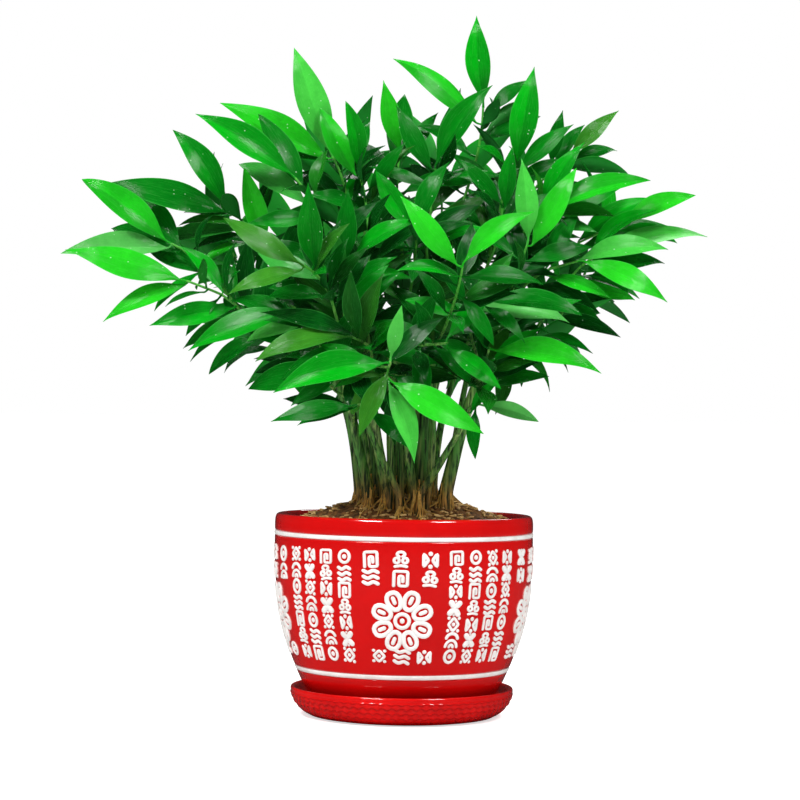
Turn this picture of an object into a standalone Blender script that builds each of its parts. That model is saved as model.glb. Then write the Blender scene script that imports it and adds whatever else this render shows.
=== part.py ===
"""A clump of nagi seedlings grown together in a round glazed pot that stands in a drip saucer.

Lengths are in millimetres inside the script and become metres where the meshes are made. +Z is up,
+X is to the right seen from the front, and the front faces -Y. The origin is the centre of the
saucer's flat base.
"""

import math
import random
from dataclasses import dataclass

import bmesh
import bpy
from mathutils import Matrix, Vector
from mathutils.bvhtree import BVHTree
from mathutils.geometry import interpolate_bezier

MM = 0.001
SEED = 11
TURNING_STEPS = 40
FIT = 0.35

# Pot, saucer and what is in the pot.
POT_HEIGHT = 156.0
POT_FOOT_Z = 5.3
POT_FOOT_RADIUS = 66.0
POT_BELLY_RADIUS = 100.2
POT_BELLY_Z = 134.0
POT_WALL = 6.6
POT_INNER_LIMIT = 93.4
POT_FLOOR = 8.0
GROOVE_DEPTH = 0.9
DRAIN_HOLE_RADIUS = 11.0
COVER_RADIUS = 21.0
COVER_THICKNESS = 1.2
SAUCER_HEIGHT = 22.6
SAUCER_FLOOR = 5.0
SAUCER_BASE_RADIUS = 66.0
SOIL_EDGE_Z = 149.5
SOIL_TOP_Z = 171.0

# Stems and twigs.
ROOT_Z = 122.0
COLLAR_Z = 171.0
POCKET_TOP_Z = 177.0
POCKET_GAP = 0.5
POCKET_SIDES = 12
STEM_FACETS = 8
STEM_TOP_SHARE = 0.45
STEM_RING_SPACING = 32.0
FORK_LENGTH = 4.4
FORK_REACH = 2.6
TWIG_FACETS = 4
TWIG_BASE_RADIUS = 2.1
TWIG_END_RADIUS = 1.35
TWIG_RING_SPACING = 30.0
PATH_STEPS = 24

# Leaves.
SEAT_LENGTH = 3.0
PETIOLE_LENGTH = 4.0
PETIOLE_HALF = 0.75
LEAF_WIDTH_SHARE = 0.32
LEAF_HALF_THICKNESS = 0.42
LEAF_FOLD = 0.14
LEAF_BOW = 0.07
LEAF_STATIONS = (0.22, 0.5, 0.8)
FACE_TILT = 32.0
ROLL_JITTER = 12.0
ELBOW_ROOM = 0.5
LONG_TWIG = 78.0
INNER_PLACE = 0.56
INNER_LEAVES = ((-66, 56, -14), (60, 60, 12))

# Extra lean and roll, in degrees, and share of the length, that a leaf tries in turn for room.
SWINGS = (
    (0, 0), (8, 0), (-8, 0), (0, 22), (0, -22), (15, 12), (-15, -12), (23, 0), (-23, 0),
    (15, -32), (-15, 32), (32, 18), (-32, -18), (42, 0), (-42, 0), (52, 25), (-52, -25),
)
SHRINKS = (1.0, 0.84, 0.7)
# Sideways bows of a twig, as shares of its length, that it tries in turn for room.
BOWS = (
    (0, 0), (0.08, 0), (-0.08, 0), (0, 0.1), (0, -0.1), (0.16, 0.08), (-0.16, 0.08),
    (0.16, -0.08), (-0.16, -0.08), (0.26, 0), (-0.26, 0), (0, 0.24), (0, -0.24),
)


@dataclass(frozen=True)
class Stem:
    """One seedling's stem: its radius at the soil, and points on its axis from the collar up."""

    radius: float
    axis: tuple


@dataclass(frozen=True)
class Spray:
    """A leafy twig: the stem that bears it, how far up that stem it forks, and where it ends.

    A fork of 1 is the stem's own top.

    Its leaves are (distance back from the twig's end, heading, length, lean). Heading is in degrees
    from straight up and to the right, in a view from the side that the spray faces; turn is that
    side's angle round the pot from the front. Lean is in degrees towards the viewer.
    """

    stem: int
    fork: float
    end: tuple
    leaves: tuple
    turn: float = 0.0


# The axes start at the collar, just above the soil, in a clump, and fan out as they rise.
STEMS = (
    Stem(6.2, ((-33, 0), (-35, 0, 185), (-41, -1, 223), (-54, -3, 260), (-77, -4, 296))),
    Stem(5.0, ((-27, -17), (-30, -18, 182), (-37, -21, 213), (-47, -27, 258), (-58, -34, 300))),
    Stem(3.4, ((-19, 3), (-22, 3, 185), (-27, 5, 215), (-35, 8, 262), (-45, 10, 318))),
    Stem(5.2, ((-12, -22), (-15, -24, 182), (-21, -28, 207), (-26, -34, 250), (-30, -40, 292))),
    Stem(3.3, ((-3, -35), (-8, -37, 180), (-19, -42, 202), (-32, -52, 232), (-44, -64, 262))),
    Stem(4.4, ((-5, 8), (-7, 9, 185), (-7, 12, 220), (-5, 16, 275), (-4, 20, 340))),
    Stem(4.2, ((8, -22), (5, -24, 182), (1, -30, 208), (-4, -40, 240), (-9, -54, 270))),
    Stem(5.6, ((17, -6), (13, -6, 185), (13, -5, 222), (20, -3, 280), (30, 2, 350))),
    Stem(3.7, ((11, -38), (18, -41, 182), (31, -47, 204), (43, -52, 226), (54, -58, 248))),
    Stem(6.2, ((31, -14), (35, -14, 186), (42, -16, 220), (55, -19, 262), (73, -20, 306))),
    Stem(3.5, ((32, 10), (35, 12, 186), (40, 16, 220), (49, 22, 270), (64, 28, 328))),
    Stem(4.0, ((-23, 21), (-26, 24, 186), (-33, 34, 222), (-45, 50, 268), (-61, 70, 312))),
    Stem(4.6, ((3, 29), (2, 33, 186), (0, 44, 222), (-3, 62, 268), (-6, 84, 312))),
    Stem(3.8, ((22, 24), (23, 28, 186), (27, 38, 222), (39, 54, 268), (57, 72, 312))),
)

# Leaf patterns that the sprays round the sides and the back share.
WIDE_FAN = (
    (0, -26, 76, 10), (0, 30, 80, 4), (13, -66, 78, 12),
    (13, 70, 74, 6), (27, -98, 66, 20), (27, 104, 68, 14),
)
UPRIGHT_FAN = (
    (0, -12, 72, 0), (0, 34, 76, 14), (13, -48, 80, 10),
    (13, 62, 72, 4), (27, -84, 70, 18), (27, 92, 66, 22),
)
LOW_FAN = (
    (0, -44, 72, 16), (0, 52, 74, 10), (13, -86, 76, 12),
    (13, 92, 72, 18), (27, -122, 62, 14), (27, 128, 60, 20),
)

SPRAYS = (
    # Upper left.
    Spray(0, 1.0, (-140, 0, 392), ((0, -36, 75, 0), (0, -80, 97, 4), (20, -100, 74, -18), (40, -13, 64, 16))),
    Spray(
        1, 1.0, (-88, -30, 414),
        ((0, -58, 89, 6), (12, -32, 71, -12), (24, -61, 75, -26), (34, -100, 58, 22)),
    ),
    Spray(2, 1.0, (-60, -8, 433), ((0, -20, 88, 4), (0, -65, 98, -6), (14, 28, 52, -24), (28, -88, 56, -30))),
    Spray(
        5, 1.0, (-8, 22, 437),
        ((0, -13, 60, 6), (0, 40, 47, -8), (14, 4, 78, -30), (14, -60, 56, -24), (30, 70, 58, -20)),
    ),
    Spray(3, 1.0, (-38, -22, 418), ((0, -12, 57, 16), (0, -32, 60, -4), (14, 40, 50, 18), (28, -80, 52, 30))),
    # Left.
    Spray(
        0, 0.96, (-184, -14, 363),
        ((0, -54, 84, 2), (0, -97, 84, 10), (10, -42, 74, -28), (10, -72, 78, -12), (40, -64, 72, -6)),
    ),
    Spray(
        0, 0.82, (-170, -34, 333),
        ((0, -76, 94, 4), (0, -117, 70, 2), (30, -42, 54, -26), (30, -140, 42, -6), (44, -104, 68, 8)),
    ),
    Spray(
        1, 0.80, (-78, -92, 343),
        ((0, -60, 68, 8), (0, -112, 60, 10), (8, -2, 68, 24), (20, -66, 64, -30), (32, -92, 54, -24)),
    ),
    Spray(
        1, 0.60, (-85, -70, 309),
        ((0, -110, 85, 4), (0, -78, 60, -22), (14, -106, 52, -16), (26, -84, 58, -20)),
    ),
    # Front, low.
    Spray(
        3, 0.80, (-41, -96, 290),
        ((0, -104, 73, 6), (0, -75, 70, -22), (14, -112, 72, -14), (26, 98, 50, -10)),
    ),
    Spray(
        4, 1.0, (-12, -120, 272),
        ((0, -106, 88, 6), (0, 11, 42, 14), (12, 47, 56, -4), (12, -158, 56, 12)),
    ),
    Spray(
        6, 0.90, (-12, -104, 259),
        ((0, 119, 80, 8), (0, 162, 64, 6), (14, -140, 46, -20), (22, 118, 46, 12)),
    ),
    Spray(
        6, 1.0, (31, -92, 287),
        ((0, 131, 53, 14), (0, 40, 52, -12), (12, 135, 46, -8), (14, -70, 54, -22)),
    ),
    Spray(8, 0.62, (54, -62, 242), ((0, 182, 42, 10), (0, 105, 48, -4), (12, 46, 38, 10))),
    Spray(8, 1.0, (62, -80, 285), ((0, 102, 85, 6), (0, -40, 46, -12), (12, 58, 50, -16), (12, -70, 44, -6))),
    Spray(1, 0.44, (-56, -84, 270), ((0, -106, 78, 2), (0, -82, 58, -20), (12, -122, 48, -10))),
    Spray(4, 0.72, (-37, -94, 240), ((0, -102, 64, 2), (0, -109, 48, -14), (12, 132, 50, 6))),
    # Right.
    Spray(9, 0.72, (57, -80, 319), ((0, 97, 74, 10), (0, 135, 46, 20), (12, 98, 76, -10), (24, -76, 50, 10))),
    Spray(
        7, 0.62, (40, -122, 343),
        ((0, 52, 65, 12), (0, -43, 68, 10), (10, -86, 50, 20), (10, 93, 64, -14), (28, 142, 46, 4)),
    ),
    Spray(9, 1.0, (130, -42, 352), ((0, 114, 74, 8), (0, 80, 74, -16), (28, 112, 56, 14), (28, 30, 56, -16))),
    Spray(9, 0.90, (143, -14, 357), ((0, 77, 94, 4), (0, 52, 60, 20), (14, 84, 70, -12), (28, 102, 60, -20))),
    Spray(
        10, 1.0, (106, -18, 392),
        ((0, 73, 83, 4), (0, 28, 60, 12), (14, 99, 50, 20), (14, 66, 82, -18), (28, 48, 70, -30)),
    ),
    Spray(13, 0.92, (163, -2, 383), ((0, 68, 64, 2), (0, 104, 52, -10), (34, 83, 91, 8), (34, 59, 76, -14))),
    Spray(9, 0.80, (90, -52, 364), ((0, -5, 64, 8), (0, 32, 68, 4), (13, 78, 58, -14), (13, -62, 54, -10))),
    Spray(10, 0.86, (82, 0, 427), ((0, 10, 79, 4), (0, 53, 56, 8), (14, 66, 56, -18), (26, -50, 56, -10))),
    Spray(
        7, 1.0, (57, 10, 475),
        ((0, -5, 71, 2), (5, 53, 45, -6), (14, -54, 86, 6), (26, 66, 56, -20), (40, -62, 56, -18)),
    ),
    Spray(7, 0.84, (71, -34, 392), ((0, -43, 52, 14), (0, 9, 48, 6), (14, 62, 56, -20), (26, -78, 52, 8))),
    Spray(
        13, 1.0, (124, 22, 438),
        ((0, 47, 54, 6), (0, 79, 46, -24), (14, 8, 46, 4), (14, 34, 46, 26), (34, 96, 60, -18)),
    ),
    # Inner front.
    Spray(
        3, 0.92, (-43, -58, 349),
        ((0, 59, 62, 16), (0, -3, 54, 12), (12, -25, 48, 26), (12, 91, 50, 6), (28, -84, 58, 4)),
    ),
    Spray(5, 0.72, (6, -48, 372), ((0, -34, 58, 20), (0, 24, 60, 26), (14, 74, 58, 14), (14, -76, 54, 10))),
    Spray(7, 0.92, (20, -8, 424), ((0, 33, 78, 6), (0, -32, 58, -6), (14, 80, 54, 12), (14, -74, 54, 4))),
    # Sides and back, each facing its own way round the pot.
    Spray(9, 0.84, (148, 40, 366), WIDE_FAN, 78),
    Spray(13, 0.86, (100, 108, 322), LOW_FAN, 132),
    Spray(13, 0.76, (80, 118, 392), UPRIGHT_FAN, 146),
    Spray(12, 0.86, (50, 164, 312), LOW_FAN, 164),
    Spray(12, 1.0, (0, 152, 374), WIDE_FAN, 180),
    Spray(5, 0.86, (26, 72, 426), UPRIGHT_FAN, 168),
    Spray(12, 0.72, (-50, 160, 306), LOW_FAN, 200),
    Spray(11, 1.0, (-88, 130, 364), WIDE_FAN, 212),
    Spray(5, 0.94, (-44, 66, 420), UPRIGHT_FAN, 206),
    Spray(11, 0.84, (-120, 98, 318), LOW_FAN, 234),
    Spray(2, 0.82, (-144, 54, 368), WIDE_FAN, 262),
)


# ---------------------------------------------------------------- scene helpers


def clear_scene():
    for item in list(bpy.data.objects):
        bpy.data.objects.remove(item)


def new_collection(name):
    made = bpy.data.collections.new(name)
    bpy.context.scene.collection.children.link(made)
    return made


def material(name, colour, roughness):
    made = bpy.data.materials.new(name)
    made.use_nodes = True
    shader = made.node_tree.nodes["Principled BSDF"]
    shader.inputs["Base Color"].default_value = (*colour, 1)
    shader.inputs["Roughness"].default_value = roughness
    shader.inputs["Metallic"].default_value = 0.0
    return made


def add_object(name, data, collection, finish=None):
    made = bpy.data.objects.new(name, data)
    collection.objects.link(made)
    if finish:
        made.data.materials.append(finish)
    return made


# ---------------------------------------------------------------- pot, saucer, cover and soil


def turned(name, outline, collection, finish):
    """A turned solid. Its outline of (radius, height) runs up the inner side and down the outer."""
    edges = [(i, i + 1) for i in range(len(outline) - 1)]
    if outline[0][0] > 0:
        edges.append((len(outline) - 1, 0))
    mesh = bpy.data.meshes.new(name)
    mesh.from_pydata([(radius * MM, 0, height * MM) for radius, height in outline], edges, [])
    made = add_object(name, mesh, collection, finish)
    screw = made.modifiers.new("turn", "SCREW")
    screw.steps = TURNING_STEPS
    screw.render_steps = TURNING_STEPS
    screw.use_merge_vertices = True
    screw.merge_threshold = 0.00001
    return made


def pot_outer_radius(z):
    """Straight down from the rim, then drawn in more and more towards the foot."""
    drop = max(0.0, (POT_BELLY_Z - z) / (POT_BELLY_Z - POT_FOOT_Z))
    return POT_BELLY_RADIUS - (POT_BELLY_RADIUS - POT_FOOT_RADIUS) * drop**2.35


def pot_inner_wall():
    """The inner wall from the floor up, as (radius, height)."""
    floor_z = POT_FOOT_Z + POT_FLOOR
    heights = (floor_z, 30, 50, 74, 100, 126, POT_HEIGHT - 3)
    return [(min(pot_outer_radius(z) - POT_WALL, POT_INNER_LIMIT), z) for z in heights]


def pot_groove(top, bottom):
    """Four points of a shallow groove that runs round the pot, from its top edge down."""
    edge = 0.7
    deep = GROOVE_DEPTH
    return [
        (pot_outer_radius(top), top),
        (pot_outer_radius(top) - deep, top - edge),
        (pot_outer_radius(bottom) - deep, bottom + edge),
        (pot_outer_radius(bottom), bottom),
    ]


def make_pot(collection, finish):
    """The pot, with its drain hole, a rim and the two grooves that frame the decorated zone."""
    floor_z = POT_FOOT_Z + POT_FLOOR
    inside = [(DRAIN_HOLE_RADIUS, POT_FOOT_Z), (DRAIN_HOLE_RADIUS, floor_z)] + pot_inner_wall()
    rim = [(94.8, POT_HEIGHT), (98.0, POT_HEIGHT), (99.6, POT_HEIGHT - 1.6)]
    outside = pot_groove(143.6, 138.8)
    outside += [(pot_outer_radius(z), z) for z in (120, 98, 76, 58)]
    outside += pot_groove(40.0, 35.0)
    outside += [(pot_outer_radius(20), 20), (POT_FOOT_RADIUS, POT_FOOT_Z)]
    return turned("pot", inside + rim + outside, collection, finish)


def make_saucer(collection, finish):
    """A shallow dish with a flat base, a bulged wall and a rounded lip."""
    inside = [(0, SAUCER_FLOOR), (68.5, SAUCER_FLOOR), (76.0, 8.6), (80.8, 15.0), (82.8, SAUCER_HEIGHT - 1.0)]
    lip = [(83.8, SAUCER_HEIGHT), (85.6, SAUCER_HEIGHT), (86.4, SAUCER_HEIGHT - 1.2)]
    outside = [(85.6, 17.0), (82.6, 10.4), (77.8, 4.4), (72.0, 1.0), (SAUCER_BASE_RADIUS, 0), (0, 0)]
    return turned("saucer", inside + lip + outside, collection, finish)


def make_drain_cover(collection, finish):
    """The disc of mesh laid over the drain hole, inside the pot."""
    bottom = POT_FOOT_Z + POT_FLOOR + FIT
    top = bottom + COVER_THICKNESS
    outline = [(0, top), (COVER_RADIUS, top), (COVER_RADIUS, bottom), (0, bottom)]
    return turned("drain_cover", outline, collection, finish)


def make_stem_pockets(collection):
    """Cutter for the holes in the soil that the buried ends of the stems stand in."""
    shape = bmesh.new()
    height = POCKET_TOP_Z - (ROOT_Z - POCKET_GAP)
    for stem in STEMS:
        x, y = stem.axis[0]
        centre = Vector((x, y, POCKET_TOP_Z - height / 2)) * MM
        radius = (stem.radius + POCKET_GAP) / math.cos(math.pi / POCKET_SIDES) * MM
        bmesh.ops.create_cone(
            shape, cap_ends=True, segments=POCKET_SIDES, radius1=radius, radius2=radius,
            depth=height * MM, matrix=Matrix.Translation(centre),
        )
    mesh = bpy.data.meshes.new("stem_pockets")
    shape.to_mesh(mesh)
    shape.free()
    cutter = add_object("stem_pockets", mesh, collection)
    cutter.hide_render = True
    cutter.display_type = "WIRE"
    return cutter


def make_soil(collection, cutters, finish):
    """The bark mix: it fills the pot, stands clear of the drain cover and is heaped at the stems."""
    wall = [(radius - FIT, z) for radius, z in pot_inner_wall() if z < SOIL_EDGE_Z]
    edge_radius = pot_inner_wall()[-1][0] - FIT
    heap = [(0, SOIL_TOP_Z), (22, 170.4), (40, 168.2), (54, 164.3), (68, 160.2), (edge_radius, SOIL_EDGE_Z)]
    floor_z = POT_FOOT_Z + POT_FLOOR + FIT
    over_cover = floor_z + COVER_THICKNESS + FIT
    lowest = (wall[0][0], floor_z)
    bottom = [lowest, (COVER_RADIUS + FIT, floor_z), (COVER_RADIUS + FIT, over_cover), (0, over_cover)]
    soil = turned("soil", heap + wall[:0:-1] + bottom, collection, finish)
    cut = soil.modifiers.new("stem pockets", "BOOLEAN")
    cut.operation = "DIFFERENCE"
    cut.solver = "EXACT"
    cut.object = make_stem_pockets(cutters)
    return soil


# ---------------------------------------------------------------- room to grow in


class Room:
    """What already fills the space: each thing as a search tree with its own box."""

    def __init__(self):
        self.things = []

    def add(self, points, faces, owner):
        low = [min(p[k] for p in points) for k in range(3)]
        high = [max(p[k] for p in points) for k in range(3)]
        self.things.append((BVHTree.FromPolygons(points, faces), low, high, owner))

    def add_object(self, item, owner):
        """Fill the room with an object as its modifiers leave it."""
        shape = item.evaluated_get(bpy.context.evaluated_depsgraph_get()).to_mesh()
        points = [item.matrix_world @ v.co / MM for v in shape.vertices]
        self.add(points, [tuple(face.vertices) for face in shape.polygons], owner)

    def is_free(self, points, faces, ignore=None):
        low = [min(p[k] for p in points) for k in range(3)]
        high = [max(p[k] for p in points) for k in range(3)]
        tree = None
        for other, other_low, other_high, owner in self.things:
            if owner == ignore or any(low[k] > other_high[k] or high[k] < other_low[k] for k in range(3)):
                continue
            tree = tree or BVHTree.FromPolygons(points, faces)
            if tree.overlap(other):
                return False
        return True


def loft(rings, tip=None):
    """Points and faces of a tube through rings of equal counts, closed at its start and end."""
    count = len(rings[0])
    points = [point for ring in rings for point in ring]
    faces = [tuple(reversed(range(count)))]
    for i in range(len(rings) - 1):
        for j in range(count):
            k = (j + 1) % count
            faces.append((count * i + j, count * i + k, count * (i + 1) + k, count * (i + 1) + j))
    last = count * (len(rings) - 1)
    if tip is None:
        faces.append(tuple(range(last, last + count)))
    else:
        points.append(tip)
        faces += [(last + j, last + (j + 1) % count, len(points) - 1) for j in range(count)]
    return points, faces


# ---------------------------------------------------------------- shoots


@dataclass
class Seat:
    """A face of a shoot that something can grow from: its place in the tube, corners and normal."""

    key: tuple
    corners: list
    outward: Vector


class Shoot:
    """A tube round a smooth path, with two rings close together wherever something grows."""

    def __init__(self, path, side, facets, radius_at, spacing):
        self.path = path
        self.facets = facets
        self.radius_at = radius_at
        self.spacing = spacing
        self.taken = set()
        self.lengths = [0.0]
        for a, b in zip(path, path[1:]):
            self.lengths.append(self.lengths[-1] + (b - a).length)
        self.sides = self.carried_sides(side)

    @property
    def length(self):
        return self.lengths[-1]

    def tangent(self, i):
        low, high = max(i - 1, 0), min(i + 1, len(self.path) - 1)
        return (self.path[high] - self.path[low]).normalized()

    def carried_sides(self, side):
        """One sideways direction at each point of the path, carried along it without twist."""
        made = []
        for i in range(len(self.path)):
            along = self.tangent(i)
            side = (side - along * side.dot(along)).normalized()
            made.append(side)
        return made

    def place_rings(self, seats):
        """Set the rings, with one at each end of every seat, given as name: (start, end) distances."""
        fixed = sorted({0.0, self.length, *[distance for seat in seats.values() for distance in seat]})
        self.stations = []
        for low, high in zip(fixed, fixed[1:]):
            spans = max(1, math.ceil((high - low) / self.spacing))
            self.stations += [low + (high - low) * i / spans for i in range(spans)]
        self.stations.append(self.length)
        self.seat_at = {name: self.stations.index(seat[0]) for name, seat in seats.items()}
        self.rings = [self.ring(distance) for distance in self.stations]

    def frame(self, distance):
        """Place, direction, and two directions square to it, at a distance along the shoot."""
        i = 0
        while i < len(self.path) - 2 and self.lengths[i + 1] < distance:
            i += 1
        share = (distance - self.lengths[i]) / (self.lengths[i + 1] - self.lengths[i])
        place = self.path[i].lerp(self.path[i + 1], share)
        along = self.tangent(i).lerp(self.tangent(i + 1), share).normalized()
        side = self.sides[i].lerp(self.sides[i + 1], share)
        side = (side - along * side.dot(along)).normalized()
        return place, along, side, side.cross(along)

    def ring(self, distance, extra=0.0):
        place, _, side, over = self.frame(distance)
        radius = self.radius_at(distance / self.length) + extra
        angles = [math.tau * (k - 0.5) / self.facets for k in range(self.facets)]
        return [place + (side * math.cos(angle) + over * math.sin(angle)) * radius for angle in angles]

    def seats(self, name):
        """The free faces between the two rings of a named seat."""
        i = self.seat_at[name]
        _, _, side, over = self.frame((self.stations[i] + self.stations[i + 1]) / 2)
        low, high = self.rings[i], self.rings[i + 1]
        found = []
        for j in range(self.facets):
            k = (j + 1) % self.facets
            angle = math.tau * j / self.facets
            outward = side * math.cos(angle) + over * math.sin(angle)
            found.append(Seat((i, j), [low[j], low[k], high[k], high[j]], outward))
        return [seat for seat in found if seat.key not in self.taken]

    def cap(self):
        """The face at the shoot's end."""
        return Seat((len(self.rings) - 1, "cap"), list(self.rings[-1]), self.tangent(len(self.path) - 1))


# ---------------------------------------------------------------- stems


def catmull_rom(points, per_span):
    """A smooth run of points through the given ones."""
    padded = [points[0] * 2 - points[1], *points, points[-1] * 2 - points[-2]]
    made = []
    for i in range(1, len(padded) - 2):
        a, b, c, d = padded[i - 1:i + 3]
        for step in range(per_span):
            t = step / per_span
            bend = (2 * a - 5 * b + 4 * c - d) * t * t + (3 * b - 3 * c + d - a) * t**3
            made.append(0.5 * (2 * b + (c - a) * t + bend))
    made.append(points[-1])
    return made


def make_stem(number):
    """A stem from its buried end to its top, with a seat at each fork."""
    stem = STEMS[number]
    foot = Vector((*stem.axis[0], ROOT_Z))
    collar = Vector((*stem.axis[0], COLLAR_Z))
    path = [foot] + catmull_rom([collar] + [Vector(point) for point in stem.axis[1:]], 4)
    buried = COLLAR_Z - ROOT_Z

    def radius_at(share):
        rise = max(0.0, share * shoot.length - buried) / (shoot.length - buried)
        return stem.radius * (1 - (1 - STEM_TOP_SHARE) * rise)

    shoot = Shoot(path, Vector((1, 0, 0)), STEM_FACETS, radius_at, STEM_RING_SPACING)
    seats = {"collar": (buried, buried + FORK_LENGTH)}
    for spray in SPRAYS:
        if spray.stem == number and spray.fork < 1:
            middle = buried + (shoot.length - buried) * spray.fork
            seats[spray.fork] = (middle - FORK_LENGTH / 2, middle + FORK_LENGTH / 2)
    shoot.place_rings(seats)
    return shoot


# ---------------------------------------------------------------- twigs


def turned_to(spray, vector):
    """A direction given as seen from the side that the spray faces, in the plant's own frame."""
    return Matrix.Rotation(math.radians(spray.turn), 3, "Z") @ vector


def facing_of(spray):
    return turned_to(spray, Vector((0, -1, 0)))


def leaf_direction(spray, heading, lean):
    h, l = math.radians(heading), math.radians(lean)
    return turned_to(spray, Vector((math.sin(h) * math.cos(l), -math.sin(l), math.cos(h) * math.cos(l))))


def fork_seat(spray, stem):
    """Where the twig leaves its stem, and a direction square to it that both tubes share."""
    if spray.fork >= 1:
        return stem.cap(), stem.sides[-1]
    end = Vector(spray.end)
    seat = max(stem.seats(spray.fork), key=lambda found: found.outward.dot(end - found.corners[0]))
    return seat, (seat.corners[3] - seat.corners[0]).normalized()


def twig_path(spray, seat, bow):
    """A smooth path from just off the stem to the twig's end, bowed sideways and in depth."""
    start = sum(seat.corners, Vector()) / len(seat.corners) + seat.outward * FORK_REACH
    end = Vector(spray.end)
    reach = end - start
    across = Vector((-reach.z, 0, reach.x)).normalized() * bow[0] + Vector((0, 1, 0)) * bow[1]
    leave = start + seat.outward * reach.length * 0.36
    pointing = [leaf_direction(spray, heading, lean) for back, heading, _, lean in spray.leaves if back == 0]
    arriving = (reach.normalized() * 0.5 + sum(pointing, Vector()) / len(pointing)).normalized()
    arrive = end - arriving * reach.length * 0.42 + across * reach.length
    return interpolate_bezier(start, leave, arrive, end, PATH_STEPS + 1)


def twig_radius(share):
    return TWIG_BASE_RADIUS + (TWIG_END_RADIUS - TWIG_BASE_RADIUS) * share


def inner_leaves(spray, path, length):
    """One more pair of leaves well down a long twig, spread to both sides of it."""
    if length < LONG_TWIG:
        return ()
    reach = Matrix.Rotation(math.radians(-spray.turn), 3, "Z") @ (path[-1] - path[0])
    heading = math.degrees(math.atan2(reach.x, reach.z))
    back = round(length * INNER_PLACE)
    return tuple((back, heading + swing, size, lean) for swing, size, lean in INNER_LEAVES)


def grow_twig(spray, stem, room):
    """The first of the bowed twigs that has room, with its fork's seat and its leaves' wishes."""
    seat, side = fork_seat(spray, stem)
    for bow in BOWS:
        path = twig_path(spray, seat, bow)
        twig = Shoot(path, side, TWIG_FACETS, twig_radius, TWIG_RING_SPACING)
        wishes = spray.leaves + inner_leaves(spray, path, twig.length)
        seats = {}
        for back in sorted({wish[0] for wish in wishes}):
            start = twig.length - back - (SEAT_LENGTH if back == 0 else SEAT_LENGTH / 2)
            seats[back] = (start, min(start + SEAT_LENGTH, twig.length))
        twig.place_rings(seats)
        clear = [twig.ring(distance, ELBOW_ROOM) for distance in (2.5, *twig.stations[1:])]
        if room.is_free(*loft(clear)):
            stem.taken.add(seat.key)
            return seat, twig, wishes
    raise ValueError(f"no room for the twig that ends at {spray.end}")


# ---------------------------------------------------------------- leaves


def leaf_half_width(t):
    """Half the blade's width as a share of the leaf's length: widest just below the middle."""
    return LEAF_WIDTH_SHARE / 2 * math.sin(math.pi * t**0.9) ** 1.2


def blade_normal(spray, direction, roll):
    """The upper side faces outwards and up; roll turns it about the leaf's own length."""
    tilt = math.radians(FACE_TILT)
    wanted = facing_of(spray) * math.cos(tilt) + Vector((0, 0, math.sin(tilt)))
    normal = wanted - direction * wanted.dot(direction)
    if normal.length < 0.25:
        normal = direction.orthogonal()
    return Matrix.Rotation(math.radians(roll), 3, direction) @ normal.normalized()


def neck_of(seat, direction):
    """Where the petiole ends and the blade begins."""
    foot = sum(seat.corners, Vector()) / len(seat.corners)
    return foot + (seat.outward * 0.62 + direction * 0.5) * PETIOLE_LENGTH


def leaf_rings(neck, tip, normal, extra=0.0):
    """Rings of four points from the petiole's end to near the tip, and the tip."""
    blade = (tip - neck).length
    direction = (tip - neck).normalized()
    normal = (normal - direction * normal.dot(direction)).normalized()
    across = direction.cross(normal)
    half = PETIOLE_HALF + extra
    rings = [[neck - across * half, neck + normal * half, neck + across * half, neck - normal * half]]
    for t in LEAF_STATIONS:
        centre = neck + direction * blade * t + normal * blade * LEAF_BOW * 4 * t * (1 - t)
        width = leaf_half_width(t) * blade + extra
        thick = LEAF_HALF_THICKNESS + extra
        raised = centre + normal * LEAF_FOLD * width
        left, right = raised - across * width, raised + across * width
        rings.append([left, centre + normal * thick, right, centre - normal * thick])
    return rings, tip + direction * extra


def paired(corners, ring):
    """The order of a seat's corners that pairs them with a ring of four without a twist."""
    orders = []
    for turn in range(4):
        for way in (1, -1):
            order = [(turn + way * i) % 4 for i in range(4)]
            orders.append((sum((corners[i] - point).length_squared for i, point in zip(order, ring)), order))
    return min(orders)[1]


def grow_leaf(spray, twig, wish, jitter, room, own):
    """The first of the swung, rolled and shortened leaves that has room, or None."""
    back, heading, length, lean = wish
    origin = twig.frame(twig.length - back)[0]
    seats = twig.seats(back)
    if back == 0 and twig.cap().key not in twig.taken:
        seats.append(twig.cap())
    for shrink in SHRINKS:
        for swing, roll in SWINGS:
            direction = leaf_direction(spray, heading, lean + swing)
            end = origin + direction * length * shrink
            normal = blade_normal(spray, direction, jitter + roll)
            seat = max(seats, key=lambda found: found.outward.dot(direction))
            neck = neck_of(seat, direction)
            if not room.is_free(*loft(*leaf_rings(neck, end, normal, ELBOW_ROOM))):
                continue
            rings, tip = leaf_rings(neck, end, normal)
            corners = [seat.corners[i] for i in paired(seat.corners, rings[0])]
            if room.is_free(*loft([corners, rings[0]]), ignore=own):
                twig.taken.add(seat.key)
                room.add(*loft([corners] + rings, tip), "leaf")
                return seat, rings, tip
    return None


# ---------------------------------------------------------------- one body for each seedling


def add_tube(shape, rings, base=None, tip=None):
    """Loft a tube out of a face, which it replaces, or from its own closed start.

    Returns each of its faces with its corners, under the same keys as the shoot's seats.
    """
    made = [[shape.verts.new(point * MM) for point in ring] for ring in rings]
    count = len(made[0])
    if base:
        join_to_face(shape, *base, made[0])
    else:
        shape.faces.new(made[0])
    faces = {}
    for i, (low, high) in enumerate(zip(made, made[1:])):
        for j in range(count):
            k = (j + 1) % count
            corners = [low[j], low[k], high[k], high[j]]
            faces[(i, j)] = (shape.faces.new(corners), corners)
    if tip is None:
        faces[(len(made) - 1, "cap")] = (shape.faces.new(made[-1]), made[-1])
    else:
        end = shape.verts.new(tip * MM)
        for j in range(count):
            shape.faces.new((made[-1][j], made[-1][(j + 1) % count], end))
    return faces


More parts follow.
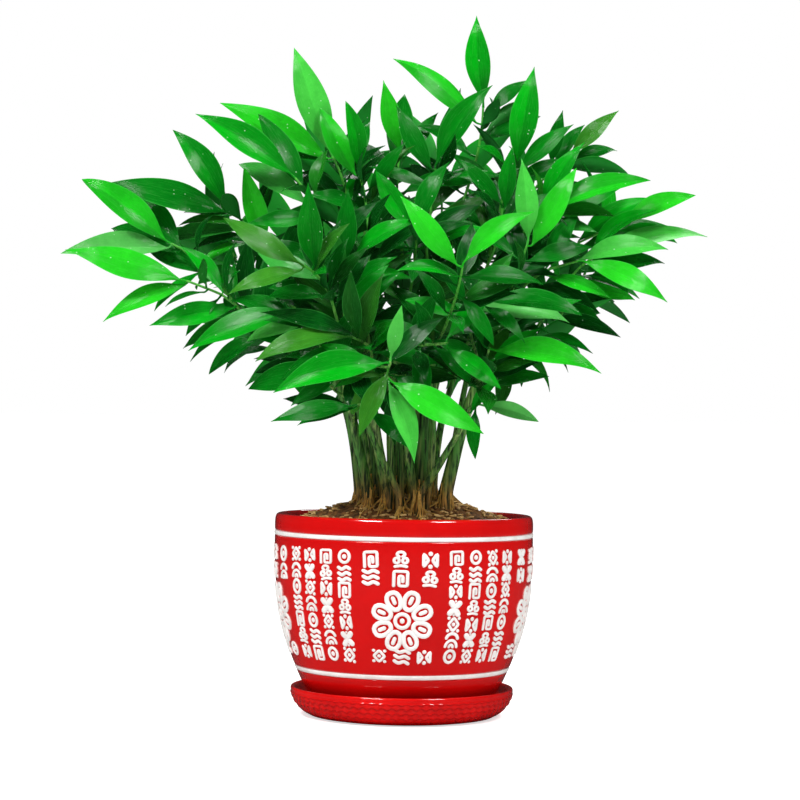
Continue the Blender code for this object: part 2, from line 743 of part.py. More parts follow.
def join_to_face(shape, face, corners, ring):
    """Take a face away and close the gap from its corners to a ring of four."""
    shape.faces.remove(face)
    if len(corners) == 4:
        order = paired([vert.co for vert in corners], [vert.co for vert in ring])
        corners = [corners[i] for i in order]
        for j in range(4):
            k = (j + 1) % 4
            shape.faces.new((corners[j], corners[k], ring[k], ring[j]))
        return
    for k in range(4):
        below, above, beyond = corners[2 * k - 1], corners[2 * k], corners[2 * k + 1]
        shape.faces.new((below, above, ring[k]))
        shape.faces.new((above, beyond, ring[(k + 1) % 4], ring[k]))


def make_seedling(name, stem, twigs, collection, finish):
    """The stem with its twigs lofted out of it and their leaves lofted out of them."""
    shape = bmesh.new()
    stem_faces = add_tube(shape, stem.rings)
    for seat, twig, leaves in twigs:
        twig_faces = add_tube(shape, twig.rings, base=stem_faces[seat.key])
        for leaf_seat, rings, tip in leaves:
            add_tube(shape, rings, base=twig_faces[leaf_seat.key], tip=tip)
    bmesh.ops.recalc_face_normals(shape, faces=shape.faces)
    mesh = bpy.data.meshes.new(name)
    shape.to_mesh(mesh)
    shape.free()
    return add_object(name, mesh, collection, finish)


def grow_leaves(number, spray, twig, wishes, room):
    dice = random.Random(SEED + number)
    grown = []
    for wish in wishes:
        jitter = dice.uniform(-ROLL_JITTER, ROLL_JITTER)
        grown.append(grow_leaf(spray, twig, wish, jitter, room, f"twig {number}"))
    return [leaf for leaf in grown if leaf]


def grow_clump(room, collection, finish):
    """All stems first, then all twigs, then the leaves, so that nothing grows where another passes."""
    stems = [make_stem(number) for number in range(len(STEMS))]
    for number, stem in enumerate(stems):
        room.add(*loft(stem.rings), f"stem {number}")
    twigs = []
    for number, spray in enumerate(SPRAYS):
        seat, twig, wishes = grow_twig(spray, stems[spray.stem], room)
        room.add(*loft(twig.rings), f"twig {number}")
        twigs.append((seat, twig, wishes))
    borne = {number: [] for number in range(len(STEMS))}
    for number, (spray, (seat, twig, wishes)) in enumerate(zip(SPRAYS, twigs)):
        borne[spray.stem].append((seat, twig, grow_leaves(number, spray, twig, wishes, room)))
    for number, stem in enumerate(stems):
        make_seedling(f"seedling_{number + 1:02d}", stem, borne[number], collection, finish)


# ---------------------------------------------------------------- the whole pot


def main():
    clear_scene()
    plant = new_collection("potted nagi tree")
    cutters = new_collection("cutters")
    pot_glaze = material("pot glaze", (0.76, 0.006, 0.005), 0.14)
    saucer_glaze = material("saucer glaze", (0.74, 0.010, 0.009), 0.16)
    plastic = material("drain mesh", (0.03, 0.03, 0.03), 0.6)
    bark_mix = material("bark mix", (0.15, 0.05, 0.012), 0.9)
    leaf_green = material("leaf green", (0.02, 0.24, 0.04), 0.35)

    make_saucer(plant, saucer_glaze)
    make_drain_cover(plant, plastic)
    pot = make_pot(plant, pot_glaze)
    soil = make_soil(plant, cutters, bark_mix)
    bpy.context.view_layer.update()
    room = Room()
    room.add_object(pot, "pot")
    room.add_object(soil, "soil")
    grow_clump(room, plant, leaf_green)


if __name__ == "__main__":
    main()
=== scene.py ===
"""The looks of a potted nagi tree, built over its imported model.

A clump of nagi seedlings grows in bark mix, in a red glazed pot with raised white ornament, on a
matching saucer. Lengths in the classes are in millimetres and become metres where meshes are made;
lengths in the finishes are in metres.
"""

import logging
import math
import random
from dataclasses import dataclass, field
from enum import Enum
from functools import cache, cached_property
from typing import Iterable, Sequence

import bmesh
import bpy
import numpy as np
from mathutils import Matrix, Quaternion, Vector, noise
from mathutils.bvhtree import BVHTree
from mathutils.geometry import interpolate_bezier


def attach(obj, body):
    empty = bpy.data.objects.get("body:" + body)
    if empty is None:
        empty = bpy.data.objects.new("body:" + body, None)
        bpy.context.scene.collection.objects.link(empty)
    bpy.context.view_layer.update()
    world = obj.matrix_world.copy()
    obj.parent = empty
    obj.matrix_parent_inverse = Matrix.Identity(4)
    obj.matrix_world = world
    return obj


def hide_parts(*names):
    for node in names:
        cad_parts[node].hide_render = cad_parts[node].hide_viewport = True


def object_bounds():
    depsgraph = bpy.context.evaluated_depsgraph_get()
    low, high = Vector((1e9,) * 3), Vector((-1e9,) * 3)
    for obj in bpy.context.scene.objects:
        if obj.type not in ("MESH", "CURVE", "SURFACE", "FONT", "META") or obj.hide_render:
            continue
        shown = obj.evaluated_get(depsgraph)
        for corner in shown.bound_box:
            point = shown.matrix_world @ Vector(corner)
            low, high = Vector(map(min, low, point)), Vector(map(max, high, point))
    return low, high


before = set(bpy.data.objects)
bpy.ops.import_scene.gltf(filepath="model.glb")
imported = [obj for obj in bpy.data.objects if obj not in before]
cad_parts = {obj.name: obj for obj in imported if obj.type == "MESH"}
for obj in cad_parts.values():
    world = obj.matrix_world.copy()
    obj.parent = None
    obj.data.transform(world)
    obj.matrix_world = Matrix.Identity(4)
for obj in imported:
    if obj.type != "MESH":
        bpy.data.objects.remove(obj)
CAD_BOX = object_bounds()

MM = 0.001
BODY = "root"
LOG = logging.getLogger("potted_nagi")

# A corner of an outline that turns by less than this, in radians, is left as it is.
STRAIGHT = 0.09
# The stems' buried ends lie under this height.
BURIED_Z = 150.0

Colour = tuple[float, float, float]
Faces = list[tuple[int, ...]]
Knot = tuple[float, float, float, float]
Point2 = tuple[float, float]
Point3 = tuple[float, float, float]
Socket = bpy.types.NodeSocket
Span = tuple[float, float]

# The order of a face's corners between two rings, out of (low, low's next, high's next, high).
UPWARD = (0, 1, 2, 3)
DOWNWARD = (0, 3, 2, 1)
TURNED = (1, 0, 3, 2)


# ---------------------------------------------------------------- meshes and pieces


def as_array(values: Iterable) -> np.ndarray:
    """Points, given as any kind of rows, as an array of doubles."""
    return np.array([tuple(value) for value in values], dtype=float)


def about(radius: float, turn: float) -> Point2:
    """A place round the upright axis, turned in radians from the front."""
    return radius * math.sin(turn), -radius * math.cos(turn)


def sleeve(rings: int, count: int, order: Sequence[int], closed: bool = False, first: int = 0) -> Faces:
    """The faces between rings of points that follow one another.

    Args:
        rings: how many rings there are.
        count: how many points each has.
        order: how each face's corners run: UPWARD, DOWNWARD or TURNED.
        closed: whether the last ring joins the first.
        first: the number of the first ring's first point.

    Returns:
        The faces.
    """
    faces = []
    for ring in range(rings if closed else rings - 1):
        low, high = first + ring * count, first + (ring + 1) % rings * count
        for j in range(count):
            k = (j + 1) % count
            corners = (low + j, low + k, high + k, high + j)
            faces.append(tuple(corners[i] for i in order))
    return faces


def tube(rings: int, count: int, order: Sequence[int], closed: bool = False) -> Faces:
    """A sleeve with a face over each end, unless its last ring joins its first.

    Args:
        rings: how many rings there are.
        count: how many points each has.
        order: how each face's corners run: UPWARD or DOWNWARD.
        closed: whether the last ring joins the first.

    Returns:
        The faces.
    """
    faces = sleeve(rings, count, order, closed)
    if not closed:
        first, last = tuple(range(count)), tuple(range((rings - 1) * count, rings * count))
        faces += [first, last[::-1]] if order == DOWNWARD else [first[::-1], last]
    return faces


def lathe(outline: Sequence[Point2], steps: int) -> tuple[np.ndarray, Faces]:
    """Turn an outline about the upright axis.

    Args:
        outline: (radius, height) points that run up the inner side and down the outer one.
        steps: how many steps one full turn has.

    Returns:
        The points, ring after ring, and the faces between them.
    """
    rings = as_array(outline)
    turn = np.arange(steps) * math.tau / steps
    x = rings[:, :1] * np.sin(turn)
    y = -rings[:, :1] * np.cos(turn)
    z = np.repeat(rings[:, 1:], steps, axis=1)
    return np.stack([x, y, z], axis=2).reshape(-1, 3), sleeve(len(rings), steps, TURNED)


def rounded(outline: Sequence[Point2], radius: float, steps: int) -> list[Point2]:
    """Round the corners of an open outline; where it hardly turns, its points stay as they are.

    Args:
        outline: its points.
        radius: how far along each side a corner's rounding reaches, up to 0.45 of the side.
        steps: how many steps each rounding has.

    Returns:
        The points of the rounded outline.
    """
    made = [tuple(outline[0])]
    for before, corner, after in zip(outline, outline[1:], outline[2:]):
        a, b, c = Vector(before), Vector(corner), Vector(after)
        if (b - a).angle(c - b, 0.0) < STRAIGHT:
            made.append((b.x, b.y))
            continue
        start, end = (b + (side - b) * min(0.45, radius / max((side - b).length, 1e-6)) for side in (a, c))
        for step in range(steps + 1):
            t = step / steps
            made.append(tuple(start * (1 - t) ** 2 + b * (2 * t * (1 - t)) + end * t**2))
    return made + [tuple(outline[-1])]


def joined(bodies: Iterable[tuple[np.ndarray, Faces]]) -> tuple[np.ndarray, Faces]:
    """Put the points and faces of several bodies into one list each.

    Args:
        bodies: each body's points and faces.

    Returns:
        All points and all faces.
    """
    points, faces, total = [], [], 0
    for own, own_faces in bodies:
        points.append(own)
        faces += [tuple(corner + total for corner in face) for face in own_faces]
        total += len(own)
    return np.vstack(points), faces


def new_mesh(name: str, points: Sequence, faces: Faces, crease: float = 40.0) -> bpy.types.Mesh:
    """Make a smooth-shaded mesh from points in millimetres.

    Args:
        name: the mesh's name.
        points: its points, one row each.
        faces: the corners of each face, counter-clockwise seen from outside.
        crease: edges that turn by more than this many degrees stay sharp.

    Returns:
        The mesh.
    """
    mesh = bpy.data.meshes.new(name)
    mesh.from_pydata((np.asarray(points) * MM).tolist(), [], faces)
    mesh.update()
    mesh.shade_smooth()
    mesh.set_sharp_from_angle(angle=math.radians(crease))
    return mesh


def mark(mesh: bpy.types.Mesh, name: str, values: Sequence, colour: bool = False) -> None:
    """Keep a number, or a colour with its alpha, at each point of a mesh under a name."""
    layer = mesh.attributes.new(name, "FLOAT_COLOR" if colour else "FLOAT", "POINT")
    layer.data.foreach_set("color" if colour else "value", np.asarray(values, np.float32).ravel())


def new_item(name: str, data: bpy.types.ID | None) -> bpy.types.Object:
    """Put data into the scene as an object.

    Args:
        name: the object's name.
        data: its mesh, curve, lamp or camera.

    Returns:
        The object.
    """
    item = bpy.data.objects.new(name, data)
    bpy.context.scene.collection.objects.link(item)
    return item


def worked_out(helper: bpy.types.Object, name: str) -> bpy.types.Mesh:
    """The smooth-shaded mesh that a curve or a modified object comes to; the object itself goes away.

    Args:
        helper: the object.
        name: the mesh's name.

    Returns:
        The mesh.
    """
    mesh = bpy.data.meshes.new_from_object(helper.evaluated_get(bpy.context.evaluated_depsgraph_get()))
    bpy.data.objects.remove(helper)
    mesh.name = name
    mesh.shade_smooth()
    return mesh


def new_piece(mesh: bpy.types.Mesh, finish: bpy.types.Material, slot: str, *stands_for: str) -> None:
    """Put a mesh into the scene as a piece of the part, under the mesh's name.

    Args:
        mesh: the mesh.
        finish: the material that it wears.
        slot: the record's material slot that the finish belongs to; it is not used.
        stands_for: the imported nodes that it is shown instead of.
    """
    piece = new_item(mesh.name, mesh)
    mesh.materials.clear()
    mesh.materials.append(finish)
    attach(piece, BODY)
    if stands_for:
        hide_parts(*stands_for)
    LOG.info("piece %s wears %s", piece.name, finish.name)


def strands(name: str, paths: Sequence[Sequence[Knot]]) -> bpy.types.Mesh:
    """Make round strands along paths.

    Args:
        name: the mesh's name.
        paths: for each strand its points as (x, y, z, radius), in millimetres.

    Returns:
        The mesh.
    """
    curve = bpy.data.curves.new(name, "CURVE")
    curve.dimensions = "3D"
    curve.bevel_depth = MM
    curve.bevel_resolution = 2
    curve.use_fill_caps = True
    for path in paths:
        spline = curve.splines.new("POLY")
        spline.points.add(len(path) - 1)
        for point, (x, y, z, radius) in zip(spline.points, path):
            point.co = (x * MM, y * MM, z * MM, 1)
            point.radius = radius
        spline.use_smooth = True
    return worked_out(new_item(f"{name}_lines", curve), name)


# ---------------------------------------------------------------- node wiring


class Graph:
    """A node tree that is being wired up: a material's, the world's or a shared effect's."""

    def __init__(self, tree: bpy.types.NodeTree) -> None:
        """Keep the tree to be wired."""
        self.tree = tree

    def feed(self, socket: Socket, value: object) -> None:
        """Link a socket to an output, or set its own value; a colour gets an alpha of 1.

        Args:
            socket: the input.
            value: an output, a number, a vector or a colour.
        """
        if isinstance(value, bpy.types.NodeSocket):
            self.tree.links.new(value, socket)
        elif socket.type == "RGBA" and len(value) == 3:
            socket.default_value = (*value, 1.0)
        else:
            socket.default_value = value

    def feed_all(self, sockets: Sequence[Socket], values: dict[str, object]) -> None:
        """Feed sockets by their names, with underscores for spaces."""
        for name, value in values.items():
            self.feed(sockets[name.replace("_", " ")], value)

    def add(self, kind: str, *values: object, **settings: object) -> bpy.types.Node:
        """Add a node.

        Args:
            kind: the node's type, without its ShaderNode prefix.
            values: its first inputs, as values or outputs.
            settings: properties of the node.

        Returns:
            The node.
        """
        node = self.tree.nodes.new(kind if kind.startswith("Node") else f"ShaderNode{kind}")
        for key, value in settings.items():
            setattr(node, key, value)
        for socket, value in zip(node.inputs, values):
            self.feed(socket, value)
        return node

    def maths(self, operation: str, *values: object) -> Socket:
        """The result of a Math node's operation on numbers or outputs."""
        return self.add("Math", *values, operation=operation).outputs[0]

    def times(self, first: object, second: object) -> Socket:
        """The product of two numbers."""
        return self.maths("MULTIPLY", first, second)

    def plus(self, first: object, second: object) -> Socket:
        """The sum of two numbers."""
        return self.maths("ADD", first, second)

    def minus(self, first: object, second: object) -> Socket:
        """The first number less the second."""
        return self.maths("SUBTRACT", first, second)

    def times_plus(self, first: object, factor: object, term: object) -> Socket:
        """A number times a factor, plus a term."""
        return self.maths("MULTIPLY_ADD", first, factor, term)

    def size(self, value: object) -> Socket:
        """A number without its sign."""
        return self.maths("ABSOLUTE", value)

    def stretched(self, place: Socket, factors: Point3) -> Socket:
        """Coordinates times a factor along each axis."""
        return self.add("VectorMath", place, factors, operation="MULTIPLY").outputs[0]

    def fade(self, value: object, low: object, high: object) -> Socket:
        """A smooth step that is 0 where the value is at low and 1 where it is at high."""
        return self.add("MapRange", value, low, high, interpolation_type="SMOOTHSTEP").outputs["Result"]

    def blend(self, share: object, first: object, second: object, how: str = "MIX") -> Socket:
        """Mix two colours.

        Args:
            share: how much of the second shows, from 0 to 1.
            first: the colour below.
            second: the colour above.
            how: the blend mode.

        Returns:
            The mixed colour.
        """
        node = self.add("Mix", share, data_type="RGBA", blend_type=how)
        colours = [socket for socket in node.inputs if socket.type == "RGBA"]
        self.feed(colours[0], first)
        self.feed(colours[1], second)
        return next(socket for socket in node.outputs if socket.type == "RGBA")

    def over(self, colour: object, other: object, mask: Socket, share: float) -> Socket:
        """Lay another colour over a colour where a mask shows it, up to a share."""
        return self.blend(self.times(mask, share), colour, other)

    def noise(self, place: Socket, scale: object, detail: float = 3.0, rough: float = 0.55) -> Socket:
        """Soft three-dimensional noise, about 0.5 on average.

        Args:
            place: the coordinates that it is read at.
            scale: cells per metre.
            detail: how many finer octaves it has.
            rough: how strong these octaves are.

        Returns:
            Its value.
        """
        node = self.add("TexNoise")
        self.feed_all(node.inputs, {"Vector": place, "Scale": scale, "Detail": detail, "Roughness": rough})
        return node.outputs["Fac"]

    def call(self, group: bpy.types.NodeTree, **values: object) -> Sequence[Socket]:
        """The outputs of a shared effect, whose inputs are given by their names.

        Args:
            group: the effect's node group.
            values: its inputs by name, with underscores for spaces.

        Returns:
            Its outputs, by name.
        """
        node = self.add("Group", node_tree=group)
        self.feed_all(node.inputs, values)
        return node.outputs


class SharedEffect(Graph):
    """A surface effect that several finishes use: a node group that is made once."""

    def __init__(self, name: str, inputs: dict[str, object], *outputs: str) -> None:
        """Open a new group.

        Args:
            name: the group's name.
            inputs: each input's name and first value: a number, a colour, or None for coordinates.
            outputs: the names of its outputs; those that end in Colour are colours.
        """
        super().__init__(bpy.data.node_groups.new(name, "ShaderNodeTree"))
        for label, value in inputs.items():
            kind = "Vector" if value is None else "Color" if isinstance(value, tuple) else "Float"
            socket = self.tree.interface.new_socket(label, in_out="INPUT", socket_type=f"NodeSocket{kind}")
            if value is not None:
                socket.default_value = (*value, 1.0) if kind == "Color" else value
        for label in outputs:
            kind = "Color" if label.endswith("Colour") else "Float"
            self.tree.interface.new_socket(label, in_out="OUTPUT", socket_type=f"NodeSocket{kind}")
        self.given = self.add("NodeGroupInput").outputs[: len(inputs)]
        self.results = self.add("NodeGroupOutput").inputs

    def close(self, **results: object) -> bpy.types.NodeTree:
        """Wire the outputs, given by their names, and hand the finished group over."""
        self.feed_all(self.results, results)
        return self.tree


@cache
def mottling() -> bpy.types.NodeTree:
    """Cloudy variation between two colours, coarse and fine together.

    Returns:
        The node group.
    """
    inputs = {"Place": None, "Scale": 20.0, "Spread": 0.25}
    colours = {"Base Colour": (1.0, 1.0, 1.0), "Patch Colour": (0.0, 0.0, 0.0)}
    g = SharedEffect("mottling", inputs | colours, "Colour", "Cloud")
    place, scale, spread, base, patch = g.given
    coarse = g.noise(place, scale, 2.0)
    fine = g.noise(place, g.times(scale, 6.3), 3.0, 0.65)
    cloud = g.plus(g.times(coarse, 0.65), g.times(fine, 0.35))
    cloud = g.fade(cloud, g.minus(0.5, spread), g.plus(0.5, spread))
    return g.close(Colour=g.blend(cloud, base, patch), Cloud=cloud)


@cache
def specks() -> bpy.types.NodeTree:
    """Scattered round specks: dust, tiny droplets, or pinholes in a glaze.

    Returns:
        The node group.
    """
    g = SharedEffect("specks", {"Place": None, "Scale": 300.0, "Size": 0.18, "Share": 0.3}, "Mask")
    place, scale, size, share = g.given
    cells = g.add("TexVoronoi", feature="F1")
    g.feed_all(cells.inputs, {"Vector": place, "Scale": scale})
    dot_mask = g.fade(cells.outputs["Distance"], size, g.times(size, 0.55))
    chance = g.add("SeparateColor", cells.outputs["Color"]).outputs[0]
    return g.close(Mask=g.times(dot_mask, g.maths("LESS_THAN", chance, share)))


@cache
def long_grain() -> bpy.types.NodeTree:
    """Fine lines that run side by side along one direction, such as veins or the furrows of bark.

    Returns:
        The node group.
    """
    inputs = {"Across": 0.0, "Along": 0.0, "Lines": 20.0, "Wander": 0.5}
    g = SharedEffect("long grain", inputs, "Ridges", "Streaks")
    across, along, lines, wander = g.given
    count = g.times(across, lines)
    place = g.add("CombineXYZ", count, along).outputs[0]
    phase = g.plus(count, g.times(g.noise(place, 0.35, 2.0), wander))
    wave = g.maths("SINE", g.times(phase, math.tau))
    return g.close(Ridges=g.times_plus(wave, 0.5, 0.5), Streaks=g.noise(place, 1.1, 3.0, 0.6))


@cache
def crest_wear_and_highlight() -> bpy.types.NodeTree:
    """A mask of the crests of a surface, broken up a little so that it doesn't look drawn: thin glaze on the
    glazes and painted highlight on the bark mix, chips and roots.

    Returns:
        The node group.
    """
    g = SharedEffect("crest wear and highlight", {"Place": None, "From": 0.52, "To": 0.6, "Break": 0.04}, "Mask")
    place, low, high, broken = g.given
    crest = g.add("NewGeometry").outputs["Pointiness"]
    shift = g.times(g.minus(g.noise(place, 160.0), 0.5), broken)
    return g.close(Mask=g.fade(g.plus(crest, shift), low, high))


# ---------------------------------------------------------------- finishes


class Surface(Graph):
    """A material whose Principled shader is being wired up."""

    def __init__(self, name: str, **values: object) -> None:
        """Make the material.

        Args:
            name: its name.
            values: the shader's plain values by name, with underscores for spaces.
        """
        self.material = bpy.data.materials.new(name)
        self.material.use_nodes = True
        super().__init__(self.material.node_tree)
        self.shader = self.tree.nodes["Principled BSDF"]
        self.feed_all(self.shader.inputs, values)

    @cached_property
    def place(self) -> Socket:
        """The coordinates of the part's own frame, in metres."""
        return self.add("TexCoord").outputs["Object"]

    def axes(self, place: Socket) -> Sequence[Socket]:
        """The three numbers that coordinates are made of."""
        return self.add("SeparateXYZ", place).outputs

    def kept(self, name: str, output: str = "Fac") -> Socket:
        """What a mesh keeps at its points under a name."""
        return self.add("Attribute", attribute_name=name).outputs[output]

    def mottled(self, scale: float, spread: float, base: Colour, patch: Colour) -> tuple[Socket, Socket]:
        """The mottling effect over the whole surface.

        Args:
            scale: cells per metre.
            spread: how far the noise may swing between the two colours: small is crisp.
            base: the one colour.
            patch: the other.

        Returns:
            Its colour, and its cloud from 0 to 1.
        """
        values = {"Place": self.place, "Scale": scale, "Spread": spread}
        made = self.call(mottling(), **values, Base_Colour=base, Patch_Colour=patch)
        return made["Colour"], made["Cloud"]

    def specked(self, scale: float, size: float, share: float, place: Socket | None = None) -> Socket:
        """The specks effect's mask, at the part's coordinates or at others."""
        return self.call(specks(), Place=place or self.place, Scale=scale, Size=size, Share=share)["Mask"]

    def crests(self, low: float, high: float, broken: float) -> Socket:
        """The crest mask, for thin glaze and painted highlight, between two pointinesses; a flat place has
        0.5.
        """
        return self.call(crest_wear_and_highlight(), Place=self.place, From=low, To=high, Break=broken)["Mask"]

    def finish(
        self, colour: Socket, rough: Socket, height: Socket, depth: float, strength: float = 1.0
    ) -> bpy.types.Material:
        """Wire the shader.

        Args:
            colour: the surface's colour.
            rough: its roughness.
            height: its relief, from 0 to 1.
            depth: how many metres one unit of height is.
            strength: how strongly the relief shows.

        Returns:
            The finished material.
        """
        bump = self.add("Bump")
        self.feed_all(bump.inputs, {"Strength": strength, "Distance": depth, "Height": height})
        outputs = {"Base Color": colour, "Roughness": rough, "Normal": bump.outputs["Normal"]}
        self.feed_all(self.shader.inputs, outputs)
        return self.material


@dataclass(frozen=True)
class Glaze:
    """A fat red glaze: deeper where it pools and in the braid's hollows, there partly painted shade; thin and
    orange on crests, with a few pinholes.
    """

    name: str
    body: Colour
    pooled: Colour
    thin: Colour
    roughness: float = 0.13
    deep: Colour = (0.20, 0.0005, 0.0005)

    def build(self) -> bpy.types.Material:
        """Make the material.

        Returns:
            The material.
        """
        coat = {"Coat_Weight": 1.0, "Coat_Roughness": 0.025, "Coat_IOR": 1.65}
        g = Surface(self.name, IOR=1.45, Specular_IOR_Level=0.2, **coat)
        colour, cloud = g.mottled(14.0, 0.2, self.body, self.pooled)
        pinholes = g.specked(210.0, 0.09, 0.05)
        colour = g.over(colour, self.thin, g.crests(0.53, 0.66, 0.03), 0.5)
        colour = g.over(colour, self.pooled, pinholes, 0.5)
        # Darker in the saucer braid's hollows: partly pooled glaze, partly painted shade.
        colour = g.over(colour, self.deep, g.kept("hollow_pool_and_shade"), 0.5)
        rough = g.times_plus(cloud, 0.05, self.roughness)
        peel = g.plus(g.noise(g.place, 90.0, 2.0), g.times(pinholes, -0.4))
        return g.finish(colour, rough, peel, 0.00018, 0.5)


@dataclass(frozen=True)
class Slip:
    """White raised slip, satin, with a little red at its thin edge: partly glaze showing through, partly
    painted shade.
    """

    name: str = "white slip"
    body: Colour = (0.89, 0.88, 0.86)
    shade: Colour = (0.72, 0.68, 0.65)
    blush_and_shade: Colour = (0.75, 0.20, 0.16)
    roughness: float = 0.32

    def build(self) -> bpy.types.Material:
        """Make the material.

        Returns:
            The material.
        """
        g = Surface(self.name, IOR=1.48, Coat_Weight=0.2, Coat_Roughness=0.12)
        colour, cloud = g.mottled(60.0, 0.22, self.body, self.shade)
        # Red at the slip's thin edge: partly glaze showing through, partly painted shade at the relief's
        # foot.
        thin = g.minus(1.0, g.fade(g.kept("slip_rise"), 0.05, 0.5))
        colour = g.over(colour, self.blush_and_shade, thin, 0.55)
        rough = g.times_plus(cloud, 0.12, self.roughness)
        return g.finish(colour, rough, g.noise(g.place, 420.0), 0.00012, 0.5)


@dataclass(frozen=True)
class LeafSkin:
    """A nagi leaf: thick and waxy, with many fine veins side by side and no midrib.

    Each leaf carries its own traits: tone from dark to bright, partly old to young leaves and partly
    painted light and shade, a warm share, which side a point is on, and as its alpha how pale it is,
    partly a paler leaf and partly painted sheen.
    """

    name: str = "nagi leaf"
    deep: Colour = (0.0006, 0.036, 0.0045)
    dark: Colour = (0.0006, 0.165, 0.0060)
    middle: Colour = (0.0008, 0.340, 0.0070)
    bright: Colour = (0.0180, 0.520, 0.0130)
    olive: Colour = (0.0450, 0.190, 0.0150)
    pale: Colour = (0.2600, 0.700, 0.2400)
    underside: Colour = (0.0150, 0.230, 0.0300)
    vein: Colour = (0.0100, 0.440, 0.0120)
    margin: Colour = (0.0600, 0.480, 0.0700)
    drop_glint: Colour = (0.5500, 0.900, 0.5500)
    light_cloud: Colour = (1.15, 1.10, 1.10)
    dark_cloud: Colour = (0.65, 0.74, 0.70)
    vein_count: float = 26.0

    def build(self) -> bpy.types.Material:
        """Make the material.

        Returns:
            The material.
        """
        g = Surface(self.name, IOR=1.45, Specular_IOR_Level=0.2, Coat_Weight=0.06, Coat_Roughness=0.06)
        across, along, _ = g.axes(g.add("UVMap", uv_map="blade").outputs["UV"])
        tone, warm, under = g.add("SeparateColor", g.kept("leaf_traits", "Color")).outputs

        # From dark to bright: partly old to young leaves, partly painted shade and light.
        colour = g.blend(g.fade(tone, 0.0, 0.25), self.deep, self.dark)
        colour = g.blend(g.fade(tone, 0.2, 0.55), colour, self.middle)
        colour = g.blend(g.fade(tone, 0.5, 0.95), colour, self.bright)
        colour = g.blend(warm, colour, self.olive)
        # Paler leaves: partly a paler leaf colour, partly painted sheen.
        colour = g.blend(g.kept("leaf_traits", "Alpha"), colour, self.pale)
        colour = g.blend(1.0, colour, g.mottled(38.0, 0.24, self.light_cloud, self.dark_cloud)[0], "MULTIPLY")

        # Painted shade: one half of the blade is darker, the left or the right by chance, as a fold turned
        # from the light; so is the base, painted shade within the spray.
        chance = g.maths("FRACT", g.times(tone, 61.7))
        half = g.fade(across, 0.46, 0.54)
        turned = g.size(g.minus(half, g.maths("GREATER_THAN", chance, 0.5)))
        depth = g.size(g.times_plus(chance, 1.1, -0.55))
        colour = g.blend(g.times(turned, depth), colour, g.blend(0.75, colour, self.deep))
        colour = g.over(colour, g.blend(0.6, colour, self.deep), g.fade(along, 0.45, 0.0), 0.45)

        # Veins with lengthwise streaks, partly painted sheen; the underside, the margin, and drops whose pale
        # colour is painted glint.
        lengthwise = g.times(along, 5.0)
        veins = g.call(long_grain(), Across=across, Along=lengthwise, Lines=self.vein_count, Wander=0.35)
        streak = g.fade(veins["Streaks"], 0.35, 0.7)
        lines = g.times_plus(veins["Ridges"], 0.15, g.times(streak, 0.28))
        colour = g.blend(lines, colour, g.blend(0.4, colour, self.vein))
        colour = g.over(colour, self.underside, under, 0.6)
        side = g.size(g.times_plus(across, 2.0, -1.0))
        colour = g.over(colour, self.margin, g.fade(side, 0.93, 0.985), 0.4)
        drops = g.specked(230.0, 0.15, 0.2)
        # Painted glint: the drops are laid on in a pale colour; their bumps are real relief.
        colour = g.over(colour, self.drop_glint, drops, 0.55)
        rough = g.times_plus(under, 0.25, g.times_plus(streak, 0.24, 0.1))
        height = g.times_plus(veins["Ridges"], 0.6, g.times(drops, 1.6))
        return g.finish(colour, rough, height, 0.00018, 0.55)


@dataclass(frozen=True)
class YoungBark:
    """Stem bark: fresh green on the twigs, dark and streaked on the stems, brown at the foot."""

    name: str = "stem bark"
    fresh: Colour = (0.060, 0.420, 0.025)
    green: Colour = (0.085, 0.320, 0.040)
    light: Colour = (0.420, 0.720, 0.190)
    dark: Colour = (0.008, 0.030, 0.005)
    brown: Colour = (0.230, 0.150, 0.040)
    foot: Colour = (0.600, 0.270, 0.045)
    speck: Colour = (0.260, 0.200, 0.100)

    def build(self) -> bpy.types.Material:
        """Make the material; the heights that its colours change at are in metres.

        Returns:
            The material.
        """
        g = Surface(self.name, IOR=1.45)
        lengthwise = g.stretched(g.place, (1.0, 1.0, 0.075))
        streak = g.noise(lengthwise, 560.0, 4.0, 0.62)
        bands = g.noise(lengthwise, 150.0, 2.0)
        rise = g.plus(g.axes(g.place)[2], g.times(g.minus(bands, 0.5), 0.05))

        olive = g.over(self.green, self.light, g.fade(bands, 0.5, 0.64), 0.75)
        young = g.blend(g.fade(rise, 0.23, 0.36), olive, self.fresh)
        furrow = g.blend(g.fade(rise, 0.24, 0.34), self.dark, g.blend(0.5, self.dark, self.fresh))
        colour = g.blend(g.fade(streak, 0.34, 0.6), furrow, young)
        older = g.blend(g.fade(streak, 0.42, 0.6), self.dark, self.brown)
        aged = g.times(g.fade(rise, 0.26, 0.17), g.fade(bands, 0.4, 0.62))
        colour = g.over(colour, older, aged, 0.6)
        earthy = g.blend(g.fade(bands, 0.4, 0.6), self.brown, self.foot)
        rooted = g.blend(g.fade(streak, 0.4, 0.6), self.dark, earthy)
        colour = g.blend(g.fade(rise, 0.192, 0.166), colour, rooted)
        dots = g.specked(330.0, 0.16, 0.22, g.stretched(g.place, (1.0, 1.0, 0.6)))
        colour = g.over(colour, self.speck, dots, 0.45)
        height = g.plus(streak, g.times(dots, 0.5))
        return g.finish(colour, g.times_plus(streak, 0.35, 0.35), height, 0.0006, 0.6)


